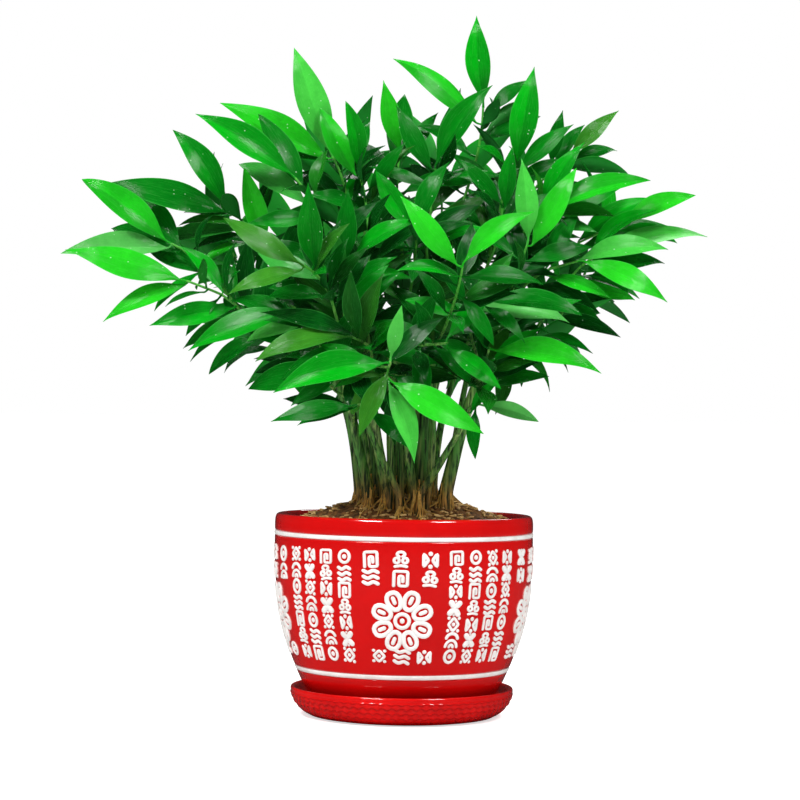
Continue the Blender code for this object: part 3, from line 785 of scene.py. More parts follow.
@dataclass(frozen=True)
class Duff:
    """Damp bark mix, its chips, or fibrous roots: rough, broken in tone, lighter on crests by painted
    highlight and so darker in the hollows.
    """

    name: str
    light: Colour
    middle: Colour
    dark: Colour
    scale: float = 240.0
    roughness: float = 0.82
    crest_share: float = 0.6

    def build(self) -> bpy.types.Material:
        """Make the material.

        Returns:
            The material.
        """
        g = Surface(self.name, IOR=1.4)
        colour, cloud = g.mottled(self.scale, 0.2, self.middle, self.dark)
        # Painted highlight: the light tone laid over the crests.
        colour = g.over(colour, self.light, g.crests(0.5, 0.58, 0.08), self.crest_share)
        colour = g.blend(g.fade(g.kept("bit_tone"), 0.35, 0.85), colour, self.light)
        rough = g.times_plus(cloud, 0.12, self.roughness)
        fibres = g.noise(g.stretched(g.place, (1.0, 0.3, 0.6)), self.scale * 4.0, 4.0, 0.7)
        return g.finish(colour, rough, fibres, 0.0005, 0.8)


@dataclass(frozen=True)
class WovenPlastic:
    """Black plastic mesh, woven of round threads."""

    name: str = "drain mesh"
    body: Colour = (0.03, 0.03, 0.03)
    dust: Colour = (0.16, 0.13, 0.1)
    gap: Colour = (0.004, 0.004, 0.004)
    pitch: float = 2.0

    def build(self) -> bpy.types.Material:
        """Make the material.

        Returns:
            The material.
        """
        g = Surface(self.name, IOR=1.46)
        half_waves = math.pi / (self.pitch * MM)
        warp, weft = (g.size(g.maths("SINE", g.times(axis, half_waves))) for axis in g.axes(g.place)[:2])
        threads = g.maths("MAXIMUM", warp, weft)
        colour, cloud = g.mottled(60.0, 0.2, self.body, self.dust)
        colour = g.blend(g.fade(threads, 0.5, 0.95), self.gap, colour)
        return g.finish(colour, g.times_plus(cloud, 0.2, 0.5), threads, 0.0005)


# ---------------------------------------------------------------- raised ornament


@dataclass(frozen=True)
class Stroke:
    """One piped stroke of slip: the points of its middle line, its width, whether it closes, and how
    far its corners round off."""

    points: tuple[Point2, ...]
    width: float
    closed: bool = False
    softness: float = 0.9

    def line(self) -> np.ndarray:
        """The middle line with its corners rounded a little, as a piping tool leaves them.

        Returns:
            Its points, one row each.
        """
        if self.closed:
            round_trip = (self.points[-1], *self.points, self.points[0])
            return np.array(rounded(round_trip, self.softness, 2)[1:-1])
        return np.array(rounded(self.points, self.softness, 2), dtype=float)


Strokes = tuple[Stroke, ...]


def arc(centre: Point2, radii: Point2, start: float, end: float, steps: int = 8) -> tuple[Point2, ...]:
    """Points along an ellipse's arc between two angles, in degrees from +X."""
    angles = [math.radians(start + (end - start) * i / steps) for i in range(steps + 1)]
    return tuple((centre[0] + radii[0] * math.cos(a), centre[1] + radii[1] * math.sin(a)) for a in angles)


def oval(radii: Point2, width: float, steps: int = 12) -> Stroke:
    """A stroke along a whole ellipse about the middle."""
    return Stroke(arc((0, 0), radii, 90, 450, steps)[:-1], width, True)


def dot(centre: Point2, width: float) -> Stroke:
    """A round dab of slip."""
    return Stroke((centre, (centre[0], centre[1] + 0.1)), width)


def mirrored(*strokes: Stroke) -> Strokes:
    """The strokes and their mirror images across the upright middle line."""
    other = (Stroke(tuple((-x, y) for x, y in s.points), s.width, s.closed) for s in strokes)
    return (*strokes, *other)


class Motif(Enum):
    """The small traditional motifs that fill the columns, about 9.5 wide and 11.5 high."""

    SQUARE_SPIRAL = (
        Stroke(
            (
                (-3.7, -4.7), (-3.7, 4.7), (3.7, 4.7), (3.7, -4.7),
                (-0.9, -4.7), (-0.9, 1.7), (1.2, 1.7), (1.2, -1.9),
            ),
            1.95,
        ),
    )
    FOUR_PETALS = (
        *mirrored(Stroke(((1.6, 2.0), (2.8, 3.5)), 4.1), Stroke(((1.6, -2.0), (2.8, -3.5)), 4.1)),
        dot((0, 0), 2.3), dot((0, 4.7), 1.6), dot((0, -4.7), 1.6),
    )
    COIN = (oval((3.6, 4.6), 2.2), oval((0.9, 1.3), 1.8, 4))
    CLOUD = (
        *mirrored(Stroke(arc((-2.4, -0.9), (1.5, 1.8), -40, 280), 1.9)),
        Stroke(arc((0, 3.2), (2.2, 1.7), -60, 240), 2.0), Stroke(((-3.2, -4.9), (0, -4.2), (3.2, -4.9)), 2.0),
    )
    LOZENGE = (
        *mirrored(dot((3.5, 4.2), 2.3), dot((3.5, -4.2), 2.3)),
        Stroke(((0, 4.6), (3.5, 0), (0, -4.6), (-3.5, 0)), 2.0, True), dot((0, 0), 2.6),
    )
    WAVES = tuple(
        Stroke(tuple((float(x), 0.8 * math.sin(x * 0.95) + rise) for x in range(-4, 5)), 2.5)
        for rise in (3.9, 0.0, -3.9)
    )
    BOW = (
        *mirrored(Stroke(((-1.1, 0.0), (-3.7, 4.1), (-3.7, -4.1)), 2.0, True)),
        dot((0, 4.0), 2.7), dot((0, -4.0), 2.7),
    )
    NESTED_ARCHES = (
        *(Stroke(arc((0, -4.6), (radius, radius * 1.15), 4, 176), 2.0) for radius in (1.3, 4.0)),
        Stroke(arc((0, 0.6), (4.0, 4.0), 12, 168), 2.2),
    )


def rosette() -> Strokes:
    """A round flower, about 49 across: eight hollow petals, each with a stamen, round a seeded heart.

    Returns:
        Its strokes.
    """
    side = ((2.4, 9.3), (4.7, 14.2), (4.9, 18.6), (2.7, 22.4))
    petal = side + tuple((-x, y) for x, y in reversed(side))
    stamen = ((0, 14.6), (0, 18.2))
    made = []
    for i in range(8):
        turn = Matrix.Rotation(math.tau * (i + 0.5) / 8, 2)
        made.append(Stroke(tuple(tuple(turn @ Vector(point)) for point in petal), 3.5, True, 2.6))
        made.append(Stroke(tuple(tuple(turn @ Vector(point)) for point in stamen), 3.1))
    return (*made, oval((5.3, 5.3), 2.9), dot((0, 0), 3.8))


@dataclass(frozen=True)
class Piping:
    """Turns flat strokes into raised slip with a domed section and round ends."""

    rise: float = 0.95
    sink: float = 0.5
    section: tuple[float, ...] = (-1.0, -0.86, -0.5, 0.0, 0.5, 0.86, 1.0)
    end_turns: tuple[float, ...] = (80, 55, 28)

    def run_on(self, line: np.ndarray, half: float) -> tuple[np.ndarray, np.ndarray]:
        """Run an open line on into round ends.

        Args:
            line: its points.
            half: half the stroke's width.

        Returns:
            The longer line, and how much of the full width each of its points has.
        """
        first, last = line[0] - line[1], line[-1] - line[-2]
        first, last = first / np.linalg.norm(first), last / np.linalg.norm(last)
        turns = np.radians(self.end_turns)
        starts = [line[0] + first * half * math.sin(t) for t in turns]
        ends = [line[-1] + last * half * math.sin(t) for t in turns[::-1]]
        shares = np.concatenate([np.cos(turns), np.ones(len(line)), np.cos(turns[::-1])])
        return np.vstack([starts, line, ends]), shares

    def solid(self, stroke: Stroke) -> tuple[np.ndarray, Faces, np.ndarray]:
        """The raised body of one stroke.

        Args:
            stroke: the stroke.

        Returns:
            Its points as (across, up, out), its faces, and how far up each point is from 0 to 1.
        """
        line, half = stroke.line(), stroke.width / 2
        line, shares = (line, np.ones(len(line))) if stroke.closed else self.run_on(line, half)
        along = np.roll(line, -1, axis=0) - np.roll(line, 1, axis=0)
        if not stroke.closed:
            along[0], along[-1] = line[1] - line[0], line[-1] - line[-2]
        along /= np.maximum(np.linalg.norm(along, axis=1, keepdims=True), 1e-9)
        side = np.stack([along[:, 1], -along[:, 0]], axis=1)
        u = np.array(self.section)
        dome = np.sqrt(1 - np.abs(u) ** 2.6)
        flat = line[:, None, :] + side[:, None, :] * (u[None, :, None] * half * shares[:, None, None])
        # A broader stroke stands a little higher.
        out = dome[None, :] * self.rise * np.sqrt(shares)[:, None] * min(1.25, 0.62 + stroke.width / 6)
        top = np.concatenate([flat, out[:, :, None]], axis=2)
        low = np.concatenate([flat[:, (-1, 0), :], np.full((len(line), 2, 1), -self.sink)], axis=2)
        points = np.concatenate([top, low], axis=1)
        faces = tube(len(line), points.shape[1], DOWNWARD, stroke.closed)
        rise = np.concatenate([np.repeat(dome[None, :], len(line), 0), np.zeros((len(line), 2))], axis=1)
        return points.reshape(-1, 3), faces, rise.reshape(-1)


@dataclass(frozen=True)
class Stamp:
    """Strokes pressed onto the wall: where their middle goes, in degrees round from the front and in
    height, their (across, up) size and their lean in radians."""

    strokes: Strokes
    angle: float
    height: float
    size: Point2 = (1.0, 1.0)
    lean: float = 0.0


# ---------------------------------------------------------------- the pot


@dataclass
class Pot:
    """The turned pot with its two white bands and its raised ornament."""

    glaze: Glaze
    slip: Slip
    foot_z: float = 5.3
    foot_radius: float = 66.0
    belly_radius: float = 100.2
    belly_z: float = 134.0
    draw_in: float = 2.35
    top_z: float = 156.0
    wall: float = 6.6
    inner_limit: float = 93.4
    inner_top: float = 153.0
    floor: float = 8.0
    drain_radius: float = 11.0
    corner: float = 1.9
    groove_depth: float = 0.9
    groove_slope: float = 0.6
    grooves: tuple[Span, ...] = ((143.6, 138.8), (40.0, 35.0))
    band_rise: float = 1.35
    steps: int = 216
    medallion_angles: tuple[float, ...] = (-1.4, 75.5, 144.2, 212.9, 281.7)
    medallion_z: float = 81.0
    over_z: Span = (126.6, 112.6)
    over_swings: tuple[float, ...] = (-12.6, 0.3, 12.9)
    under_z: float = 54.0
    under_swings: tuple[float, ...] = (-9.6, 1.2, 12.0)
    column_shares: tuple[float, ...] = (0.32, 0.44, 0.56, 0.68)
    column_top: float = 127.6
    column_pitch: float = 12.3
    column_rows: int = 7
    seed: int = 3
    piping: Piping = field(default_factory=Piping)

    def outer(self, z: float | np.ndarray) -> np.ndarray:
        """The outer radius at a height: straight down from the rim, then drawn in to the foot."""
        drop = np.clip((self.belly_z - np.asarray(z, dtype=float)) / (self.belly_z - self.foot_z), 0.0, None)
        return self.belly_radius - (self.belly_radius - self.foot_radius) * drop**self.draw_in

    def wall_points(self, high: float, low: float, count: int) -> list[Point2]:
        """Points down the outer wall between two heights."""
        return [(float(self.outer(z)), float(z)) for z in np.linspace(high, low, count)]

    def groove(self, top: float, bottom: float) -> list[Point2]:
        """The section of a shallow groove, from its top edge down.

        Args:
            top: its upper edge.
            bottom: its lower edge.

        Returns:
            Its four points.
        """
        high, low = float(self.outer(top)), float(self.outer(bottom))
        deep = [
            (high - self.groove_depth, top - self.groove_slope),
            (low - self.groove_depth, bottom + self.groove_slope),
        ]
        return [(high, top), *deep, (low, bottom)]

    def outline(self) -> list[Point2]:
        """The whole section: up the inner side, over the rim and down the outer side.

        Returns:
            Its points, as (radius, height).
        """
        floor_z = self.foot_z + self.floor
        inside = [(self.drain_radius, self.foot_z), (self.drain_radius, floor_z)]
        for radius, z in self.wall_points(floor_z, self.inner_top, 24):
            inside.append((min(radius - self.wall, self.inner_limit), z))
        rim = [(94.9, self.top_z), (98.0, self.top_z), (99.7, self.top_z - 1.9), (self.belly_radius, 150.0)]
        outside = self.groove(*self.grooves[0]) + self.wall_points(136.5, 42.5, 36)
        outside += self.groove(*self.grooves[1]) + self.wall_points(33.0, 8.0, 10)
        outside += [(self.foot_radius - 0.2, self.foot_z), (self.drain_radius, self.foot_z)]
        return rounded(inside + rim + outside, self.corner, 4)

    def build(self) -> None:
        """Make the body, the bands and the ornament."""
        slip = self.slip.build()
        body = new_mesh("pot_body", *lathe(self.outline(), self.steps))
        new_piece(body, self.glaze.build(), "pot_glaze", "pot")
        for number, (top, bottom) in enumerate(self.grooves, 1):
            self.band(f"slip_band_{number}", top - 0.75, bottom + 0.75, slip)
        self.ornament(slip)

    def band(self, name: str, top: float, bottom: float, slip: bpy.types.Material) -> None:
        """Fill a groove with a proud round of white slip.

        Args:
            name: the piece's name.
            top: its upper edge.
            bottom: its lower edge.
            slip: its material.
        """
        middle, half = (top + bottom) / 2, (top - bottom) / 2
        outline, rises = [], []
        for turn in np.radians(np.linspace(90, -90, 11)):
            z = middle + half * math.sin(turn)
            sunk = float(self.outer(z)) - self.groove_depth - 0.2
            outline.append((sunk + self.band_rise * math.cos(turn) ** 0.55, z))
            rises.append(math.cos(turn))
        mesh = new_mesh(name, *lathe(outline + outline[:1], self.steps))
        mark(mesh, "slip_rise", 0.4 + 0.6 * np.repeat(rises + [0.0], self.steps))
        new_piece(mesh, slip, "white_slip")

    def wrapped(self, flat: np.ndarray, angle: float, height: float) -> np.ndarray:
        """Lay a flat relief onto the wall.

        Args:
            flat: its points as (across, up, out).
            angle: where its middle goes, in degrees round from the front.
            height: the height of its middle.

        Returns:
            The points on the wall.
        """
        z = height + flat[:, 1]
        turn = math.radians(angle) + flat[:, 0] / float(self.outer(height))
        radius = self.outer(z) + flat[:, 2]
        return np.stack([radius * np.sin(turn), -radius * np.cos(turn), z], axis=1)

    def relief(self, name: str, stamps: Sequence[Stamp], slip: bpy.types.Material) -> None:
        """Make one piece of many stamps.

        Args:
            name: the piece's name.
            stamps: what it is made of.
            slip: its material.
        """
        bodies, rises = [], []
        for stamp in stamps:
            tilt = np.array(Matrix.Rotation(stamp.lean, 3, "Z")).T
            for stroke in stamp.strokes:
                flat, faces, rise = self.piping.solid(stroke)
                flat = (flat * np.array((*stamp.size, 1.0))) @ tilt
                bodies.append((self.wrapped(flat, stamp.angle, stamp.height), faces))
                rises.append(rise)
        mesh = new_mesh(name, *joined(bodies), 60.0)
        mark(mesh, "slip_rise", np.concatenate(rises))
        new_piece(mesh, slip, "white_slip")

    def ornament(self, slip: bpy.types.Material) -> None:
        """Five rosettes round the belly, with motifs over and under them and columns between.

        Args:
            slip: its material.
        """
        motifs = list(Motif)
        dice = random.Random(self.seed)
        medallions, columns = [], []

        def press(number: int, angle: float, height: float, size: Point2) -> None:
            """Add one motif, a little unevenly, as a hand presses it.

            Args:
                number: which motif, counted round.
                angle: where its middle goes, in degrees round from the front.
                height: the height of its middle.
                size: its (across, up) size.
            """
            wide, high = (dice.uniform(0.95, 1.07) * side for side in size)
            strokes = motifs[number % len(motifs)].value
            height += dice.gauss(0, 0.25)
            columns.append(Stamp(strokes, angle, height, (wide, high), dice.gauss(0, 0.05)))

        for number, angle in enumerate(self.medallion_angles):
            following = self.medallion_angles[(number + 1) % len(self.medallion_angles)]
            gap = (following - angle) % 360.0
            medallions.append(Stamp(rosette(), angle + 1.2, self.medallion_z))
            for place, swing in enumerate(self.over_swings):
                press(3 * place + number, angle + swing, self.over_z[0], (1.34, 1.13))
                press(3 * place + number + 5, angle + swing, self.over_z[1], (1.3, 1.13))
            for place, swing in enumerate(self.under_swings):
                press(place + number + 4, angle + swing, self.under_z, (1.2, 1.0))
            for place, share in enumerate(self.column_shares):
                for row in range(self.column_rows):
                    height = self.column_top - row * self.column_pitch
                    size = (1.17 - 0.015 * row, 1.05)
                    press(3 * row + 2 * place + number, angle + gap * share, height, size)
        self.relief("ornament_rosettes", medallions, slip)
        self.relief("ornament_columns", columns, slip)


# ---------------------------------------------------------------- the saucer


@dataclass
class Saucer:
    """The drip saucer: a smooth lip over a wall that is moulded as rows of braid."""

    glaze: Glaze
    floor_z: float = 5.0
    bowl: tuple[Point2, ...] = ((76.0, 8.6), (80.8, 15.0), (82.8, 21.4))
    lip: tuple[Point2, ...] = ((83.8, 22.6), (85.6, 22.6), (86.4, 21.4), (86.2, 19.4))
    wall_shares: tuple[float, ...] = (0.0, 0.18, 0.48, 0.76, 1.0)
    wall_radii: tuple[float, ...] = (86.1, 85.5, 82.6, 77.8, 71.6)
    wall_heights: tuple[float, ...] = (18.6, 16.6, 10.6, 4.8, 0.9)
    underside: tuple[Point2, ...] = ((66.0, 0.0), (40.0, 0.0), (0.01, 0.0))
    rows: int = 5
    cells: int = 72
    steps: int = 720
    braid_depth: float = 1.5
    wave: float = 0.2

    def braid(self, turn: np.ndarray, along: float) -> np.ndarray:
        """How far the wall stands out: lapped rows with wavy lower edges, each half a wave on.

        Args:
            turn: places round the wall, counted in waves.
            along: how far down the wall, from 0 to 1.

        Returns:
            The height at each place, from 0 to 1.
        """
        height = np.zeros(len(turn))
        for row in range(self.rows + 1):
            wave = self.wave * np.cos(math.tau * (turn + 0.5 * row))
            first, last = row - 0.5 - wave, row + 0.5 + wave
            lap = np.clip((along * self.rows - first) / (last - first), 0.0, 1.0)
            height = np.maximum(height, lap**0.8 * np.clip((1.0 - lap) / 0.2, 0.0, 1.0) ** 0.5 * (0.8 + wave))
        return height * max(0.0, math.sin(math.pi * along)) ** 0.35

    def build(self) -> None:
        """Make the saucer as one turned body whose wall swells into braid."""
        floor = [(radius, self.floor_z) for radius in (0.01, 30.0, 60.0, 68.5)]
        smooth = rounded([*floor, *self.bowl, *self.lip], 2.2, 4)
        share = np.linspace(0.0, 1.0, self.rows * 9 + 1)
        radii = np.interp(share, self.wall_shares, self.wall_radii)
        heights = np.interp(share, self.wall_shares, self.wall_heights)
        points, faces = lathe([*smooth, *zip(radii, heights), *self.underside], self.steps)
        turn = np.arange(self.steps) / self.steps * self.cells
        hollow_pool_and_shade = np.zeros(len(points))
        for i, along in enumerate(share, len(smooth)):
            around = slice(i * self.steps, (i + 1) * self.steps)
            height, out = self.braid(turn, along), points[around, :2]
            out *= 1 + (height * self.braid_depth / np.linalg.norm(out, axis=1))[:, None]
            # Darker glaze in the braid's hollows: partly pooled glaze, partly painted shade.
            hollow_pool_and_shade[around] = np.clip(1 - height / 0.4, 0, 1) * min(1.0, 6 * along, 6 * (1 - along))
        mesh = new_mesh("saucer_body", points, faces, 75.0)
        mark(mesh, "hollow_pool_and_shade", hollow_pool_and_shade)
        new_piece(mesh, self.glaze.build(), "saucer_glaze", "saucer")


# ---------------------------------------------------------------- bark mix and roots


@dataclass
class Planting:
    """What fills the pot: a heap of bark mix, loose chips on it, and roots at the stems' feet."""

    mix: Duff
    chip: Duff
    root: Duff
    edge_radius: float = 93.0
    heap: tuple[Point2, ...] = (
        (0.0, 169.0), (22.0, 168.4), (40.0, 166.0), (54.0, 161.2), (68.0, 156.6), (80.0, 152.6), (93.1, 149.0)
    )
    front_dip: float = 8.5
    underside_z: float = 140.0
    rings: int = 52
    steps: int = 200
    chips: int = 900
    chip_size: tuple[Span, ...] = ((1.0, 3.8), (0.6, 1.6), (0.4, 1.1))
    root_reach: tuple[float, ...] = (1.5, 3.0, 5.0, 8.0, 16.0)
    root_top: Span = (5, 24)
    root_girth: Span = (0.4, 1.1)
    seed: int = 5

    def surface(self, x: float, y: float) -> float:
        """The heap's height at a place: it is lower in front of the stems.

        Args:
            x: how far right the place is.
            y: how far back it is.

        Returns:
            The height.
        """
        radii, heights = zip(*self.heap)
        radius = math.hypot(x, y)
        dip = self.front_dip * min(1.0, max(0.0, -y / 34.0)) * min(1.0, max(0.0, (90.0 - radius) / 32.0))
        return float(np.interp(radius, radii, heights)) - dip

    def build(self, feet: Sequence[tuple[Vector, float]]) -> None:
        """Make the heap, its chips and the roots.

        Args:
            feet: for each stem the middle of its foot, in millimetres, and its radius there.
        """
        self.make_heap()
        self.make_chips()
        self.make_roots(feet)

    def make_heap(self) -> None:
        """The crumbly surface of the mix, closed below inside the pot."""
        turns = [math.tau * step / self.steps for step in range(self.steps)]
        points = [(0.0, 0.0, self.surface(0.0, 0.0))]
        for number in range(1, self.rings + 1):
            radius = self.edge_radius * number / self.rings
            for turn in turns:
                x, y = about(radius, turn)
                crumb = noise.noise(Vector((x, y, 0)) * 0.16) * 1.3
                crumb += noise.noise(Vector((x, y, 9)) * 0.5) * 0.8
                settled = min(1.0, (self.edge_radius - radius) / 3 + 0.3)
                points.append((x, y, self.surface(x, y) + crumb * settled - 0.4))
        low = len(points)
        points += [(*about(self.edge_radius, turn), self.underside_z) for turn in turns]
        faces = [(0, 1 + step, 1 + (step + 1) % self.steps) for step in range(self.steps)]
        faces += sleeve(self.rings + 1, self.steps, DOWNWARD, first=1)
        faces.append(tuple(reversed(range(low, low + self.steps))))
        new_piece(new_mesh("soil_heap", points, faces, 80.0), self.mix.build(), "bark_mix", "soil")

    def make_chips(self) -> None:
        """Loose chips of bark, half sunk, of many sizes and tones."""
        dice = random.Random(self.seed)
        # Vector noise follows the clock unless it has a seed.
        noise.seed_set(self.seed)
        blank = bmesh.new()
        bmesh.ops.create_icosphere(blank, subdivisions=1, radius=1.0)
        ball = as_array(v.co for v in blank.verts)
        ball_faces = [[v.index for v in face.verts] for face in blank.faces]
        blank.free()
        bodies, tones = [], []
        for number in range(self.chips):
            radius = self.edge_radius * math.sqrt(dice.uniform(0.0, 0.97))
            x, y = about(radius, dice.uniform(0, math.tau))
            size = Vector([dice.uniform(*span) for span in self.chip_size])
            boxed = np.sign(ball) * np.abs(ball) ** 0.6 * np.array(size)
            rough = as_array([noise.noise_vector(Vector(p) * 0.5 + Vector((number, 0, 0))) for p in boxed])
            spin = Matrix.Rotation(dice.uniform(0, math.tau), 3, "Z")
            spin = spin @ Matrix.Rotation(dice.uniform(-0.5, 0.5), 3, "X")
            spin = spin @ Matrix.Rotation(dice.uniform(-0.45, 0.45), 3, "Y")
            lift = dice.uniform(0.0, 0.7)
            placed = (boxed + rough * 0.35) @ np.array(spin).T + np.array((x, y, self.surface(x, y) + lift))
            bodies.append((placed, ball_faces))
            tones += [dice.random() ** 1.5] * len(ball)
        mesh = new_mesh("bark_chips", *joined(bodies), 30.0)
        mark(mesh, "bit_tone", tones)
        new_piece(mesh, self.chip.build(), "bark_mix")

    def make_roots(self, feet: Sequence[tuple[Vector, float]]) -> None:
        """Roots that leave the stems' feet, run down and out over the mix and dive into it.

        Args:
            feet: for each stem the middle of its foot, in millimetres, and its radius there.
        """
        dice = random.Random(self.seed + 1)
        paths = []
        for foot, thickness in feet:
            away = math.atan2(foot.y, foot.x)
            for number in range(7 + int(thickness)):
                turn = away + dice.gauss(0, 1.3) if foot.length > 12 else dice.uniform(0, math.tau)
                out = Vector((math.cos(turn), math.sin(turn), 0))
                side = Vector((-out.y, out.x, 0))
                reach = dice.choice(self.root_reach) * dice.uniform(0.8, 1.3)
                top = dice.uniform(*self.root_top) * (1 - reach / 25)
                girth = dice.uniform(*self.root_girth)
                path = []
                for t in (step / 8 for step in range(9)):
                    run = thickness * 0.9 + reach * t**1.8
                    spot = Vector((foot.x, foot.y, 0)) + out * run + side * math.sin(t * 5 + number) * 1.6 * t
                    drop = top * (1 - t) ** 1.3 + 0.5 * math.sin(t * 9 + number * 2) * t
                    drop -= 4.0 * max(0.0, t - 0.6)
                    path.append((spot.x, spot.y, self.surface(spot.x, spot.y) + drop, girth * (1 - 0.5 * t)))
                paths.append(path)
        new_piece(strands("surface_roots", paths), self.root.build(), "stem_bark")


# ---------------------------------------------------------------- the seedlings


@dataclass
class LeafPlan:
    """Where one leaf sits: the ends of its stalk and blade, its upper side, and its looks."""

    foot: Vector
    outward: Vector
    neck: Vector
    tip: Vector
    normal: Vector
    half_width: float
    inner: bool = False
    tone: float = 0.5
    warm: float = 0.0
    pale: float = 0.0

    @property
    def direction(self) -> Vector:
        """The way that the blade points."""
        return (self.tip - self.neck).normalized()

    @property
    def length(self) -> float:
        """The blade's length."""
        return (self.tip - self.neck).length

    def hull(self, room: float = 0.4, thickness: float = 1.2) -> tuple[list[Vector], Faces]:
        """A coarse body round the blade, to test whether there is room for it.

        Args:
            room: how much room it keeps round the blade.
            thickness: how far it reaches over and under the blade, apart from that room.

        Returns:
            Its points and faces.
        """
        across = self.direction.cross(self.normal)
        reach = self.half_width * 0.85 + room
        high = self.normal * (thickness + room)
        points = [self.neck]
        for share in (0.3, 0.6):
            middle = self.neck.lerp(self.tip, share) + self.normal * self.length * 0.06
            points += [middle - across * reach, middle + high, middle + across * reach, middle - high]
        points.append(self.tip)
        faces = [(0, 1 + j, 1 + (j + 1) % 4) for j in range(4)]
        faces += sleeve(2, 4, DOWNWARD, first=1)
        return points, faces + [(5 + j, 9, 5 + (j + 1) % 4) for j in range(4)]


class Shade(Enum):
    """How a leaf looks: tone from dark to bright, olive share and pallor; tone and pallor paint light and
    shade too.
    """

    DEEP = (0.02, 0.0, 0.0)
    DARK = (0.17, 0.0, 0.0)
    DIM = (0.31, 0.0, 0.0)
    TEAL = (0.27, 0.0, 0.07)
    GREY = (0.38, 0.0, 0.16)
    MIDDLE = (0.52, 0.0, 0.0)
    FRESH = (0.76, 0.0, 0.0)
    BRIGHT = (0.95, 0.0, 0.0)
    LIGHT = (1.0, 0.0, 0.2)
    OLIVE = (0.40, 0.85, 0.0)
    LIGHT_OLIVE = (0.66, 0.5, 0.05)
    PALE = (0.7, 0.0, 0.4)
    LEMON = (0.98, 0.2, 0.25)


SHADES = dict(zip("xdktgmbBLoOpy", Shade))

# The ends of the twigs at the sides and the back.
REAR_TWIGS = (
    (148, 40, 366), (100, 108, 322), (80, 118, 392), (50, 164, 312), (0, 152, 374), (26, 72, 426),
    (-50, 160, 306), (-88, 130, 364), (-44, 66, 420), (-120, 98, 318), (-144, 54, 368),
)

# The shades of the leaves round each front twig's end, in the order of their heading from left over
# the top to right. A full stop leaves the leaf to the general rule. Each shade gives how bright the
# leaf looks: its own colour together with the painted light, shade and sheen on it.
TWIG_NOTES = (
    ((-140, 0, 392), "t.dkB."),
    ((-88, -30, 414), "kmgd"),
    ((-60, -8, 433), "BLd"),
    ((-8, 22, 437), ".xBdk.d"),
    ((-38, -22, 418), "dd.bmd."),
    ((-184, -14, 363), "pdbd"),
    ((-170, -34, 333), "d.BmBdm."),
    ((-78, -92, 343), "ogok"),
    ((-85, -70, 309), ".myd.dd.."),
    ((-41, -96, 290), "dox.d"),
    ((-12, -120, 272), "myx"),
    ((-12, -104, 259), "ooBdL"),
    ((31, -92, 287), "d.m.md"),
    ((54, -62, 242), "mpd"),
    ((62, -80, 285), "d.dm.B"),
    ((-56, -84, 270), "dd.d."),
    ((-37, -94, 240), "dd..d"),
    ((57, -80, 319), "m..pddd"),
    ((40, -122, 343), "mBBd"),
    ((130, -42, 352), ".dL.bB"),
    ((143, -14, 357), ".mmLddb.."),
    ((106, -18, 392), ".mdmb.t"),
    ((163, -2, 383), "Bm"),
    ((90, -52, 364), "d..LBd.."),
    ((82, 0, 427), "dmkd"),
    ((57, 10, 475), "bmdd"),
    ((71, -34, 392), "d.dkd."),
    ((124, 22, 438), "ddodd"),
    ((-43, -58, 349), "d..td...mm"),
    ((6, -48, 372), "d..md..m"),
    ((20, -8, 424), "dd.dk.k"),
)


@dataclass(frozen=True)
class BladeForm:
    """How one blade is bent: its bow, sweep and hook in millimetres, its twist in radians, and its fold
    and ripple as shares of its width."""

    bow: float
    sweep: float
    fold: float
    ripple: float
    phase: float
    twist: float
    hook: float
    blunt: float


